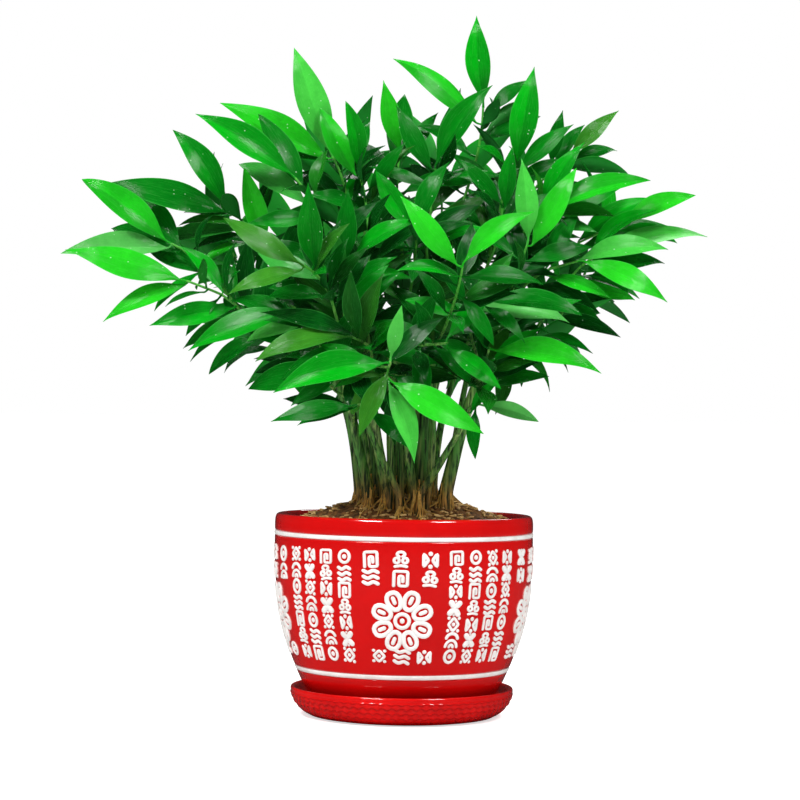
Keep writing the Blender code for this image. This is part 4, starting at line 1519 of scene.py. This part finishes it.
@dataclass(frozen=True)
class BladeMaker:
    """Builds leaves as fine closed blades: a slim stalk, a folded and bowed blade, a drawn-out tip."""

    spans: int = 21
    columns: int = 9
    inner_spans: int = 12
    inner_columns: int = 7
    stalk_half: float = 0.85
    blade_half_thickness: float = 0.2
    slimness: float = 0.93
    thinnest: float = 0.12
    folds: tuple[float, ...] = (0.12, 0.2, 0.28, 0.36, 0.44, -0.06)

    def outline(self, share: float, blunt: float) -> float:
        """Half the blade's width at a share of its length, of its greatest; blunt fills its end."""
        power = 1.12 - (0.42 * blunt if share > 0.5 else 0.0)
        return (math.sin(math.pi * share**0.87) ** power) * (1 - 0.1 * share**4)

    def form(self, length: float, dice: random.Random) -> BladeForm:
        """Draw how a blade of some length is bent.

        Args:
            length: the blade's length.
            dice: the source of its small irregularities.

        Returns:
            Its form.
        """
        return BladeForm(
            bow=length * (0.07 + dice.uniform(-0.02, 0.035)),
            sweep=length * dice.uniform(-0.035, 0.035),
            fold=dice.choice(self.folds),
            ripple=dice.uniform(0.0, 0.05),
            phase=dice.uniform(0, math.tau),
            twist=math.radians(dice.uniform(-14, 14)),
            hook=length * dice.uniform(0.0, 0.05),
            blunt=max(0.0, dice.uniform(-0.6, 1.0)),
        )

    def stations(self, plan: LeafPlan, form: BladeForm) -> list[tuple[Vector, float, float, float, float]]:
        """The leaf's cross sections from the stalk's foot to the tip.

        Args:
            plan: where the leaf sits.
            form: how its blade is bent.

        Returns:
            For each its middle, half width, half thickness, how flat it is, and its place along the blade.
        """
        direction, normal, length = plan.direction, plan.normal, plan.length
        across = direction.cross(normal).normalized()
        reach = (plan.neck - plan.foot).length
        leaving = plan.foot + plan.outward * reach * 0.45
        bend = interpolate_bezier(plan.foot, leaving, plan.neck - direction * reach * 0.4, plan.neck, 5)
        stations = [
            (spot, self.stalk_half * (1.25 - 0.08 * i), self.stalk_half * 0.8, 0.0, 0.0)
            for i, spot in enumerate(bend[:-1])
        ]
        spans = self.inner_spans if plan.inner else self.spans
        for i in range(spans):
            t = (i / (spans - 1)) ** 0.92
            centre = plan.neck + direction * length * t + normal * form.bow * 4 * t * (1 - t)
            hooked = normal * form.hook * max(0.0, (t - 0.72) / 0.28) ** 2
            centre += across * form.sweep * math.sin(math.pi * t) - hooked
            full = plan.half_width * self.slimness * self.outline(min(t, 0.999), form.blunt)
            width = max(self.stalk_half * (1 - t * 6), full, self.thinnest)
            thick = self.blade_half_thickness + (self.stalk_half * 0.6) * max(0.0, 1 - t * 9)
            stations.append((centre, width, thick, min(1.0, t * 5), t))
        return stations

    def build(self, plan: LeafPlan, dice: random.Random) -> tuple[np.ndarray, Faces, np.ndarray, np.ndarray]:
        """Make one leaf.

        Args:
            plan: where it sits.
            dice: the source of its small irregularities.

        Returns:
            Its points, its faces, each point's (across, along), and each point's traits.
        """
        form = self.form(plan.length, dice)
        stations = self.stations(plan, form)
        across = plan.direction.cross(plan.normal).normalized()
        columns = self.inner_columns if plan.inner else self.columns
        u = np.linspace(-1, 1, columns)
        lens = np.sqrt(np.clip(1 - u**2, 0, 1))
        points, place = [], []
        for centre, width, thick, flat, t in stations:
            turn = Matrix.Rotation(form.twist * (t - 0.4), 3, plan.direction)
            a, n = turn @ across, turn @ plan.normal
            wavy = np.sin(form.phase + t * 9 + (u > 0) * 2.0) * np.abs(u) ** 2
            lift = form.fold * flat * width * np.abs(u) ** 1.5 + form.ripple * width * flat * wavy
            rim = np.array(centre) + np.outer(u * width, a) + np.outer(lift, n)
            points += [rim + np.outer(lens * thick, n), (rim - np.outer(lens * thick, n))[-2:0:-1]]
            place += [(0.5 + 0.5 * v, t, 0.0) for v in u] + [(0.5 + 0.5 * v, t, 1.0) for v in u[-2:0:-1]]
        points, place = np.vstack(points), np.array(place)
        faces = tube(len(stations), 2 * columns - 2, UPWARD)
        whole = np.ones(len(points))
        traits = np.stack([whole * plan.tone, whole * plan.warm, place[:, 2], whole * plan.pale], axis=1)
        return points, faces, place[:, :2], traits


def scaled(shape: bmesh.types.BMesh, factor: float) -> bmesh.types.BMesh:
    """The same body, scaled about the origin."""
    bmesh.ops.scale(shape, vec=(factor,) * 3, verts=shape.verts)
    return shape


@dataclass
class Clump:
    """All seedlings: each one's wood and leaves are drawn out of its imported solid.

    A packed leaf has a sharp tip, then `leaf_rings` rings of `ring_points` points each, and then its
    foot on the wood.
    """

    leaf: LeafSkin
    bark: YoungBark
    seed: int = 23
    leaf_rings: int = 4
    ring_points: int = 4
    tip_angle: float = 150.0
    crown_radius: float = 190.0
    crown_z: Span = (230.0, 490.0)
    small_leaf: float = 60.0
    flare_z: float = 164.0
    flare_height: float = 36.0
    flare_fade: float = 9.0
    upper_z: float = 252.0
    inner_tries: int = 117
    inner_length: Span = (32, 54)
    inner_width: Span = (0.15, 0.19)
    sucker_count: int = 12
    sucker_tries: int = 900
    sucker_x: Span = (-30, 24)
    sucker_y: Span = (-30, 42)
    sucker_foot: float = 146.0
    sucker_top: Span = (258, 305)
    sucker_girth: Span = (1.7, 3.1)
    blades: BladeMaker = field(default_factory=BladeMaker)

    def names(self) -> list[str]:
        """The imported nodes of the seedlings."""
        return sorted(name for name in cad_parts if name.startswith("seedling"))

    def cage(self, name: str) -> bmesh.types.BMesh:
        """A seedling's solid in millimetres, welded.

        Args:
            name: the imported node.

        Returns:
            Its body, to be freed after use.
        """
        shape = bmesh.new()
        shape.from_mesh(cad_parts[name].data)
        scaled(shape, 1 / MM)
        bmesh.ops.remove_doubles(shape, verts=shape.verts, dist=0.01)
        shape.verts.index_update()
        return shape

    def tip_of_leaf(self, vert: bmesh.types.BMVert) -> bool:
        """Whether a vertex is a leaf's tip: a sharp end where four faces meet.

        Args:
            vert: a vertex of a seedling.

        Returns:
            Whether it is one.
        """
        if len(vert.link_edges) != self.ring_points or len(vert.link_faces) != self.ring_points:
            return False
        corners = (next(c for c in face.loops if c.vert == vert) for face in vert.link_faces)
        return sum(corner.calc_angle() for corner in corners) < math.radians(self.tip_angle)

    def peel(self, shape: bmesh.types.BMesh) -> list[LeafPlan]:
        """Take the leaves off a seedling.

        Args:
            shape: the seedling; only its wood is left in it.

        Returns:
            Where the leaves were.
        """
        plans, spent = [], []
        for tip in [vert for vert in shape.verts if self.tip_of_leaf(vert)]:
            rings, seen, edge = [], {tip}, {tip}
            for _ in range(self.leaf_rings + 1):
                edge = {e.other_vert(v) for v in edge for e in v.link_edges} - seen
                seen |= edge
                rings.append(sorted(edge, key=lambda vert: vert.index))
            own = rings[: self.leaf_rings]
            if any(len(ring) != self.ring_points for ring in own):
                raise ValueError(f"a leaf near {tuple(tip.co)} isn't made of rings of {self.ring_points}")
            plans.append(self.plan_from(tip.co.copy(), [[v.co.copy() for v in ring] for ring in rings]))
            spent += [tip] + [vert for ring in own for vert in ring]
        bmesh.ops.delete(shape, geom=spent, context="VERTS")
        return plans

    def plan_from(self, tip: Vector, rings: Sequence[Sequence[Vector]]) -> LeafPlan:
        """Read a leaf's place from its tip and the rings behind it.

        Args:
            tip: the leaf's tip.
            rings: the points of each ring, from the tip back to the wood.

        Returns:
            The leaf's plan, without its looks.
        """
        widest, last, foot_ring = rings[1], rings[self.leaf_rings - 1], rings[self.leaf_rings]
        pairs = [(a, b) for i, a in enumerate(widest) for b in widest[i + 1 :]]
        left, right = max(pairs, key=lambda pair: (pair[0] - pair[1]).length)
        others = [point for point in widest if point not in (left, right)]
        middle = (others[0] + others[1]) / 2
        neck = sum(last, Vector()) / len(last)
        direction = (tip - neck).normalized()
        normal = (left + right) / 2 - middle
        normal = (normal - direction * normal.dot(direction)).normalized()
        foot = sum(foot_ring, Vector()) / len(foot_ring)
        outward = (neck - foot).normalized()
        return LeafPlan(foot - outward * 1.2, outward, neck, tip, normal, (left - right).length / 2)

    def smooth_wood(self, shape: bmesh.types.BMesh, name: str) -> bpy.types.Mesh:
        """Round the bare wood off with Subdivision Surface, and flare it at the soil.

        Args:
            shape: the wood's cage, with holes where the leaves were; they are filled in it.
            name: the new mesh's name.

        Returns:
            The mesh.
        """
        bmesh.ops.holes_fill(shape, edges=[e for e in shape.edges if e.is_boundary], sides=8)
        bmesh.ops.recalc_face_normals(shape, faces=shape.faces)
        bmesh.ops.join_triangles(
            shape,
            faces=[f for f in shape.faces if len(f.verts) == 3],
            angle_face_threshold=math.radians(28),
            angle_shape_threshold=math.radians(140),
        )
        cage = bpy.data.meshes.new(f"{name}_cage")
        scaled(shape, MM).to_mesh(cage)
        scaled(shape, 1 / MM).normal_update()
        helper = new_item(f"{name}_cage", cage)
        softening = helper.modifiers.new("round", "SUBSURF")
        softening.levels = softening.render_levels = 2
        mesh = worked_out(helper, name)
        self.flare(mesh)
        return mesh

    def flare(self, mesh: bpy.types.Mesh) -> None:
        """Widen the stem in soft lobes where it meets the soil.

        Args:
            mesh: the smooth wood, in metres.
        """
        points = np.zeros(len(mesh.vertices) * 3, np.float32)
        mesh.vertices.foreach_get("co", points)
        points = points.reshape(-1, 3).astype(float) / MM
        foot = points[points[:, 2] < BURIED_Z]
        centre = (foot.max(axis=0) + foot.min(axis=0)) / 2
        near = points[:, 2] < self.flare_z + self.flare_height
        reach = points[near, :2] - centre[:2]
        turn = np.arctan2(reach[:, 1], reach[:, 0])
        swell = np.exp(-np.clip(points[near, 2] - self.flare_z, 0, None) / self.flare_fade)
        lobes = 0.16 + 0.12 * np.sin(3 * turn + centre[0]) + 0.08 * np.sin(5 * turn + centre[1])
        points[near, :2] += reach * (swell * lobes)[:, None]
        mesh.vertices.foreach_set("co", (points * MM).astype(np.float32).ravel())
        mesh.update()

    def feet(self) -> list[tuple[Vector, float]]:
        """The middle of each stem's foot and its radius there.

        Returns:
            A (middle, radius) pair for each stem, in millimetres.
        """
        found = []
        for name in self.names():
            shape = self.cage(name)
            low = [v.co for v in shape.verts if v.co.z < BURIED_Z]
            middle = sum(low, Vector()) / len(low)
            found.append((middle, max((co - middle).xy.length for co in low)))
            shape.free()
        return found

    def give_tones(self, plans: Sequence[LeafPlan], dice: random.Random) -> None:
        """Brighter leaves outside and on top, darker within and below: partly leaf age, partly painted shade
        in the crown.

        Args:
            plans: the leaves.
            dice: the source of small differences.
        """
        low, high = self.crown_z
        for plan in plans:
            middle = plan.neck.lerp(plan.tip, 0.5)
            out = math.hypot(middle.x, middle.y) / self.crown_radius
            rise = (middle.z - low) / (high - low)
            # Small leaves sit inside the crown and get painted shade.
            inner = 0.22 if plan.length < self.small_leaf else 0.0
            rear = 0.2 * min(1.0, max(0.0, middle.y / 120.0))
            tone = 0.42 * out + 0.26 * rise + rear - 0.10 - inner + dice.gauss(0.0, 0.2)
            plan.tone = min(1.0, max(0.0, tone))
            plan.warm = max(0.0, dice.gauss(-0.15, 0.3)) if plan.tone < 0.7 else 0.0

    def note_tones(self, plans: Sequence[LeafPlan]) -> None:
        """Give the leaves round the front twigs the shades that are noted for them, painted light and shade
        included.

        Args:
            plans: all leaves that were drawn out of the solids.
        """
        ends = [Vector(place) for place in (*(place for place, _ in TWIG_NOTES), *REAR_TWIGS)]
        borne: list[list[LeafPlan]] = [[] for _ in ends]
        for plan in plans:
            nearest = min(range(len(ends)), key=lambda i: (ends[i] - plan.neck).length)
            borne[nearest].append(plan)
        for (_, letters), own in zip(TWIG_NOTES, borne):
            own.sort(key=lambda plan: math.atan2(plan.direction.x, plan.direction.z))
            for letter, plan in zip(letters, own):
                if letter in SHADES:
                    plan.tone, plan.warm, plan.pale = SHADES[letter].value

    def inner_plans(self, shape: bmesh.types.BMesh, dice: random.Random) -> Iterable[LeafPlan]:
        """Wishes for further small leaves along the upper wood.

        Args:
            shape: the wood's cage with its four-sided faces.
            dice: the source of choices.

        Yields:
            One wish after another.
        """
        spots = []
        for face in shape.faces:
            middle = face.calc_center_median()
            edge = max(face.edges, key=lambda e: e.calc_length())
            if middle.z > self.upper_z and edge.calc_length() > 9.0:
                along = edge.verts[1].co - edge.verts[0].co
                spots.append((middle, face.normal.copy(), along, edge.calc_length()))
        for _ in range(self.inner_tries if spots else 0):
            middle, normal, along, reach = dice.choice(spots)
            heading = along.normalized() * (1 if along.z > 0 else -1)
            foot = middle + heading * dice.uniform(-0.38, 0.38) * reach
            outward = (normal + heading * 0.35).normalized()
            spin = Matrix.Rotation(dice.uniform(-0.5, 0.5), 3, heading)
            direction = spin @ normal * 0.9 + heading * dice.uniform(0.1, 0.8)
            direction = (direction + Vector((0, 0, dice.uniform(-0.1, 0.4)))).normalized()
            length = dice.uniform(*self.inner_length)
            neck = foot + outward * 3.0 + direction * 1.2
            up = Vector((foot.x, foot.y, 0)).normalized() * 0.5 + Vector((0, math.copysign(0.5, foot.y), 0.6))
            upper = up - direction * up.dot(direction)
            if upper.length < 0.25:
                continue
            half_width = length * dice.uniform(*self.inner_width)
            tip = neck + direction * length
            yield LeafPlan(foot - outward * 0.4, outward, neck, tip, upper.normalized(), half_width, True)

    def sucker(self, dice: random.Random) -> list[Knot]:
        """The path of one thin shoot that might stand between the stems.

        Args:
            dice: the source of choices.

        Returns:
            Its points as (x, y, z, radius).
        """
        foot = Vector((dice.uniform(*self.sucker_x), dice.uniform(*self.sucker_y), 0))
        lean = foot * dice.uniform(0.0, 0.5) + Vector((dice.gauss(0, 6), dice.gauss(0, 9), 0))
        bow = Vector((dice.gauss(0, 4), dice.gauss(0, 4), 0))
        low, high = self.sucker_foot, dice.uniform(*self.sucker_top)
        girth = dice.uniform(*self.sucker_girth)
        path = []
        for t in (step / 12 for step in range(13)):
            spot = foot + lean * t**1.4 + bow * math.sin(math.pi * t)
            path.append((spot.x, spot.y, low + (high - low) * t, girth * (1.15 - 0.65 * t)))
        return path

    def suckers(self, room: list[BVHTree], bark: bpy.types.Material, dice: random.Random) -> None:
        """Thin shoots between the stems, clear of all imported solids, that close up the clump's middle.

        Args:
            room: what they have to stay clear of; each shoot is added to it.
            bark: their material.
            dice: the source of choices.
        """
        paths = []
        for _ in range(self.sucker_tries):
            if len(paths) == self.sucker_count:
                break
            path = self.sucker(dice)
            hull = []
            for x, y, z, radius in path[4:]:
                wide = radius + 0.8
                hull += [(x - wide, y, z), (x, y - wide, z), (x + wide, y, z), (x, y + wide, z)]
            if self.finds_room(hull, sleeve(len(hull) // 4, 4, UPWARD), room):
                paths.append(path)
        LOG.info("%d thin shoots stand between the stems", len(paths))
        new_piece(strands("thin_shoots", paths), bark, "stem_bark")

    def finds_room(self, points: Sequence, faces: Faces, room: list[BVHTree]) -> bool:
        """Whether a body stays clear of what is there already; if so, it is added to that.

        Args:
            points: the body's points.
            faces: its faces.
            room: what is there already.

        Returns:
            Whether it does.
        """
        tree = BVHTree.FromPolygons(points, faces)
        if any(tree.overlap(other) for other in room):
            return False
        room.append(tree)
        return True

    def packed_body(self) -> BVHTree:
        """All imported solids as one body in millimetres, to keep clear of.

        Returns:
            The body.
        """
        solids = bmesh.new()
        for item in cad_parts.values():
            solids.from_mesh(item.data)
        tree = BVHTree.FromBMesh(scaled(solids, 1 / MM))
        solids.free()
        return tree

    def build(self) -> None:
        """Make the wood and the leaves of each seedling, and fill the clump's inside."""
        bark, skin = self.bark.build(), self.leaf.build()
        room = [self.packed_body()]
        low, high = (Vector(corner) / MM for corner in CAD_BOX)
        shapes = {name: self.cage(name) for name in self.names()}
        borne = {name: self.peel(shape) for name, shape in shapes.items()}
        everywhere = [plan for plans in borne.values() for plan in plans]
        dice = random.Random(self.seed)
        self.give_tones(everywhere, dice)
        self.note_tones(everywhere)
        self.suckers(room, bark, random.Random(self.seed + 1))
        for name, shape in shapes.items():
            wood = self.smooth_wood(shape, name.replace("seedling", "wood"))
            added = []
            for wish in self.inner_plans(shape, dice):
                inside = all(low[k] < wish.tip[k] < high[k] for k in range(3))
                if inside and self.finds_room(*wish.hull(), room):
                    added.append(wish)
            shape.free()
            self.give_tones(added, dice)
            new_piece(wood, bark, "stem_bark", name)
            self.leaves(name.replace("seedling", "leaves"), borne[name] + added, skin, dice)
            LOG.info("%s carries %d leaves and %d small inner ones", name, len(borne[name]), len(added))

    def leaves(
        self, name: str, plans: Sequence[LeafPlan], skin: bpy.types.Material, dice: random.Random
    ) -> None:
        """Make one seedling's leaves as one piece.

        Args:
            name: the piece's name.
            plans: where the leaves sit.
            skin: their material.
            dice: the source of small irregularities.
        """
        points, faces, places, traits = zip(*(self.blades.build(plan, dice) for plan in plans))
        mesh = new_mesh(name, *joined(zip(points, faces)), 70.0)
        corners = np.zeros(len(mesh.loops), np.int32)
        mesh.loops.foreach_get("vertex_index", corners)
        blade = np.vstack(places)[corners].astype(np.float32)
        mesh.uv_layers.new(name="blade").uv.foreach_set("vector", blade.ravel())
        mark(mesh, "leaf_traits", np.vstack(traits), colour=True)
        new_piece(mesh, skin, "leaf")


# ---------------------------------------------------------------- the studio


@dataclass(frozen=True)
class Softbox:
    """A large soft lamp that looks at the part's middle; its lengths are in metres."""

    name: str
    place: Point3
    size: Point2
    watts: float
    target: Point3 = (0.0, 0.0, 0.25)

    def build(self) -> None:
        """Make the lamp."""
        lamp = bpy.data.lights.new(self.name, "AREA")
        lamp.shape = "RECTANGLE"
        lamp.size, lamp.size_y = self.size
        lamp.energy = self.watts
        item = new_item(self.name, lamp)
        item.location = self.place
        item.rotation_euler = facing(Vector(self.place), Vector(self.target)).to_euler()


def facing(place: Vector, target: Vector) -> Quaternion:
    """The turn of a lamp or a camera that looks from one place to another."""
    return (target - place).to_track_quat("-Z", "Y")


@dataclass(frozen=True)
class Studio:
    """A plain pale floor, soft lamps and the camera; its lengths are in metres."""

    boxes: tuple[Softbox, ...] = (
        Softbox("key", (-0.9, -1.1, 1.9), (0.7, 0.4), 38.0),
        Softbox("second", (1.0, -1.0, 1.8), (0.6, 0.4), 22.0),
        Softbox("rim", (0.2, 1.5, 1.5), (1.4, 0.6), 16.0),
    )
    eye: Point3 = (0.0, -1.9, 0.2367)
    aim: Point3 = (-0.0046, 0.0, 0.2445)
    roll: float = 0.85
    lens: float = 110.0
    sky: float = 0.48
    sheen_sky: float = 0.03
    paper: Colour = (0.93, 0.93, 0.93)
    mirrored_paper: Colour = (0.04, 0.04, 0.04)
    floor_reach: float = 60.0
    floor_glow: float = 0.62

    def build(self) -> None:
        """Make the floor, the lamps, the surrounding light and the camera."""
        self.make_floor()
        for box in self.boxes:
            box.build()
        self.make_sky()
        self.make_camera()

    def make_floor(self) -> None:
        """A wide pale floor under the part, as light as the backdrop, that glossy skins hardly mirror."""
        reach = self.floor_reach
        corners = [(-reach, -reach, 0), (reach, -reach, 0), (reach, reach, 0), (-reach, reach, 0)]
        mesh = bpy.data.meshes.new("floor")
        mesh.from_pydata(corners, [], [(0, 1, 2, 3)])
        g = Surface("pale paper", Roughness=0.9, Specular_IOR_Level=0.1, Emission_Color=(1, 1, 1))
        rays = g.add("LightPath").outputs
        colour = g.blend(rays["Is Glossy Ray"], self.paper, self.mirrored_paper)
        glow = g.times(rays["Is Camera Ray"], self.floor_glow)
        g.feed_all(g.shader.inputs, {"Base Color": colour, "Emission Strength": glow})
        mesh.materials.append(g.material)
        new_item("floor", mesh)

    def make_sky(self) -> None:
        """A white backdrop that lights evenly and shows only faintly in glossy skins."""
        world = bpy.data.worlds.new("studio")
        bpy.context.scene.world = world
        world.use_nodes = True
        g = Graph(world.node_tree)
        rays = g.add("LightPath").outputs
        strength = g.times_plus(rays["Is Glossy Ray"], self.sheen_sky - self.sky, self.sky)
        strength = g.maths("MAXIMUM", strength, rays["Is Camera Ray"])
        backdrop = world.node_tree.nodes["Background"]
        g.feed_all(backdrop.inputs, {"Color": (1, 1, 1), "Strength": strength})

    def make_camera(self) -> None:
        """The camera, a little above the pot's rim, rolled by under a degree."""
        lens = bpy.data.cameras.new("camera")
        lens.lens = self.lens
        lens.sensor_width = 36.0
        camera = new_item("camera", lens)
        look = facing(Vector(self.eye), Vector(self.aim)).to_matrix()
        turned = look @ Matrix.Rotation(math.radians(self.roll), 3, "Z")
        camera.matrix_world = Matrix.Translation(Vector(self.eye)) @ turned.to_4x4()
        bpy.context.scene.camera = camera
        bpy.context.scene.view_settings.view_transform = "Standard"


# ---------------------------------------------------------------- the whole part


def dress_drain_cover() -> None:
    """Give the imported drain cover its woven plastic."""
    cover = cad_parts["drain_cover"]
    cover.data.materials.clear()
    cover.data.materials.append(WovenPlastic().build())
    LOG.info("piece drain_cover keeps its solid")


def main() -> None:
    """Build every sub-assembly in order, then the studio round it."""
    logging.basicConfig(level=logging.INFO, format="%(name)s: %(message)s")
    pot_glaze = Glaze("pot glaze", (0.61, 0.003, 0.003), (0.53, 0.002, 0.002), (0.72, 0.012, 0.009))
    saucer_glaze = Glaze(
        "saucer glaze", (0.72, 0.004, 0.003), (0.52, 0.001, 0.001), (0.84, 0.030, 0.022), roughness=0.17
    )
    damp = (0.020, 0.010, 0.004)
    # The mixes' middle and light tones are raised to make up for the shade that the foliage casts: painted
    # light.
    mix = Duff("bark mix", (0.72, 0.34, 0.085), (0.280, 0.115, 0.026), (0.010, 0.006, 0.003))
    chip = Duff("bark chip", (1.00, 0.68, 0.28), (0.55, 0.245, 0.060), damp, 420.0, 0.7, crest_share=0.35)
    root = Duff("root bark", (1.00, 0.66, 0.16), (0.70, 0.310, 0.045), damp, 420.0, 0.6, crest_share=0.4)
    Pot(pot_glaze, Slip()).build()
    Saucer(saucer_glaze).build()
    clump = Clump(LeafSkin(), YoungBark())
    Planting(mix, chip, root).build(clump.feet())
    clump.build()
    dress_drain_cover()
    Studio().build()


if __name__ == "__main__":
    main()
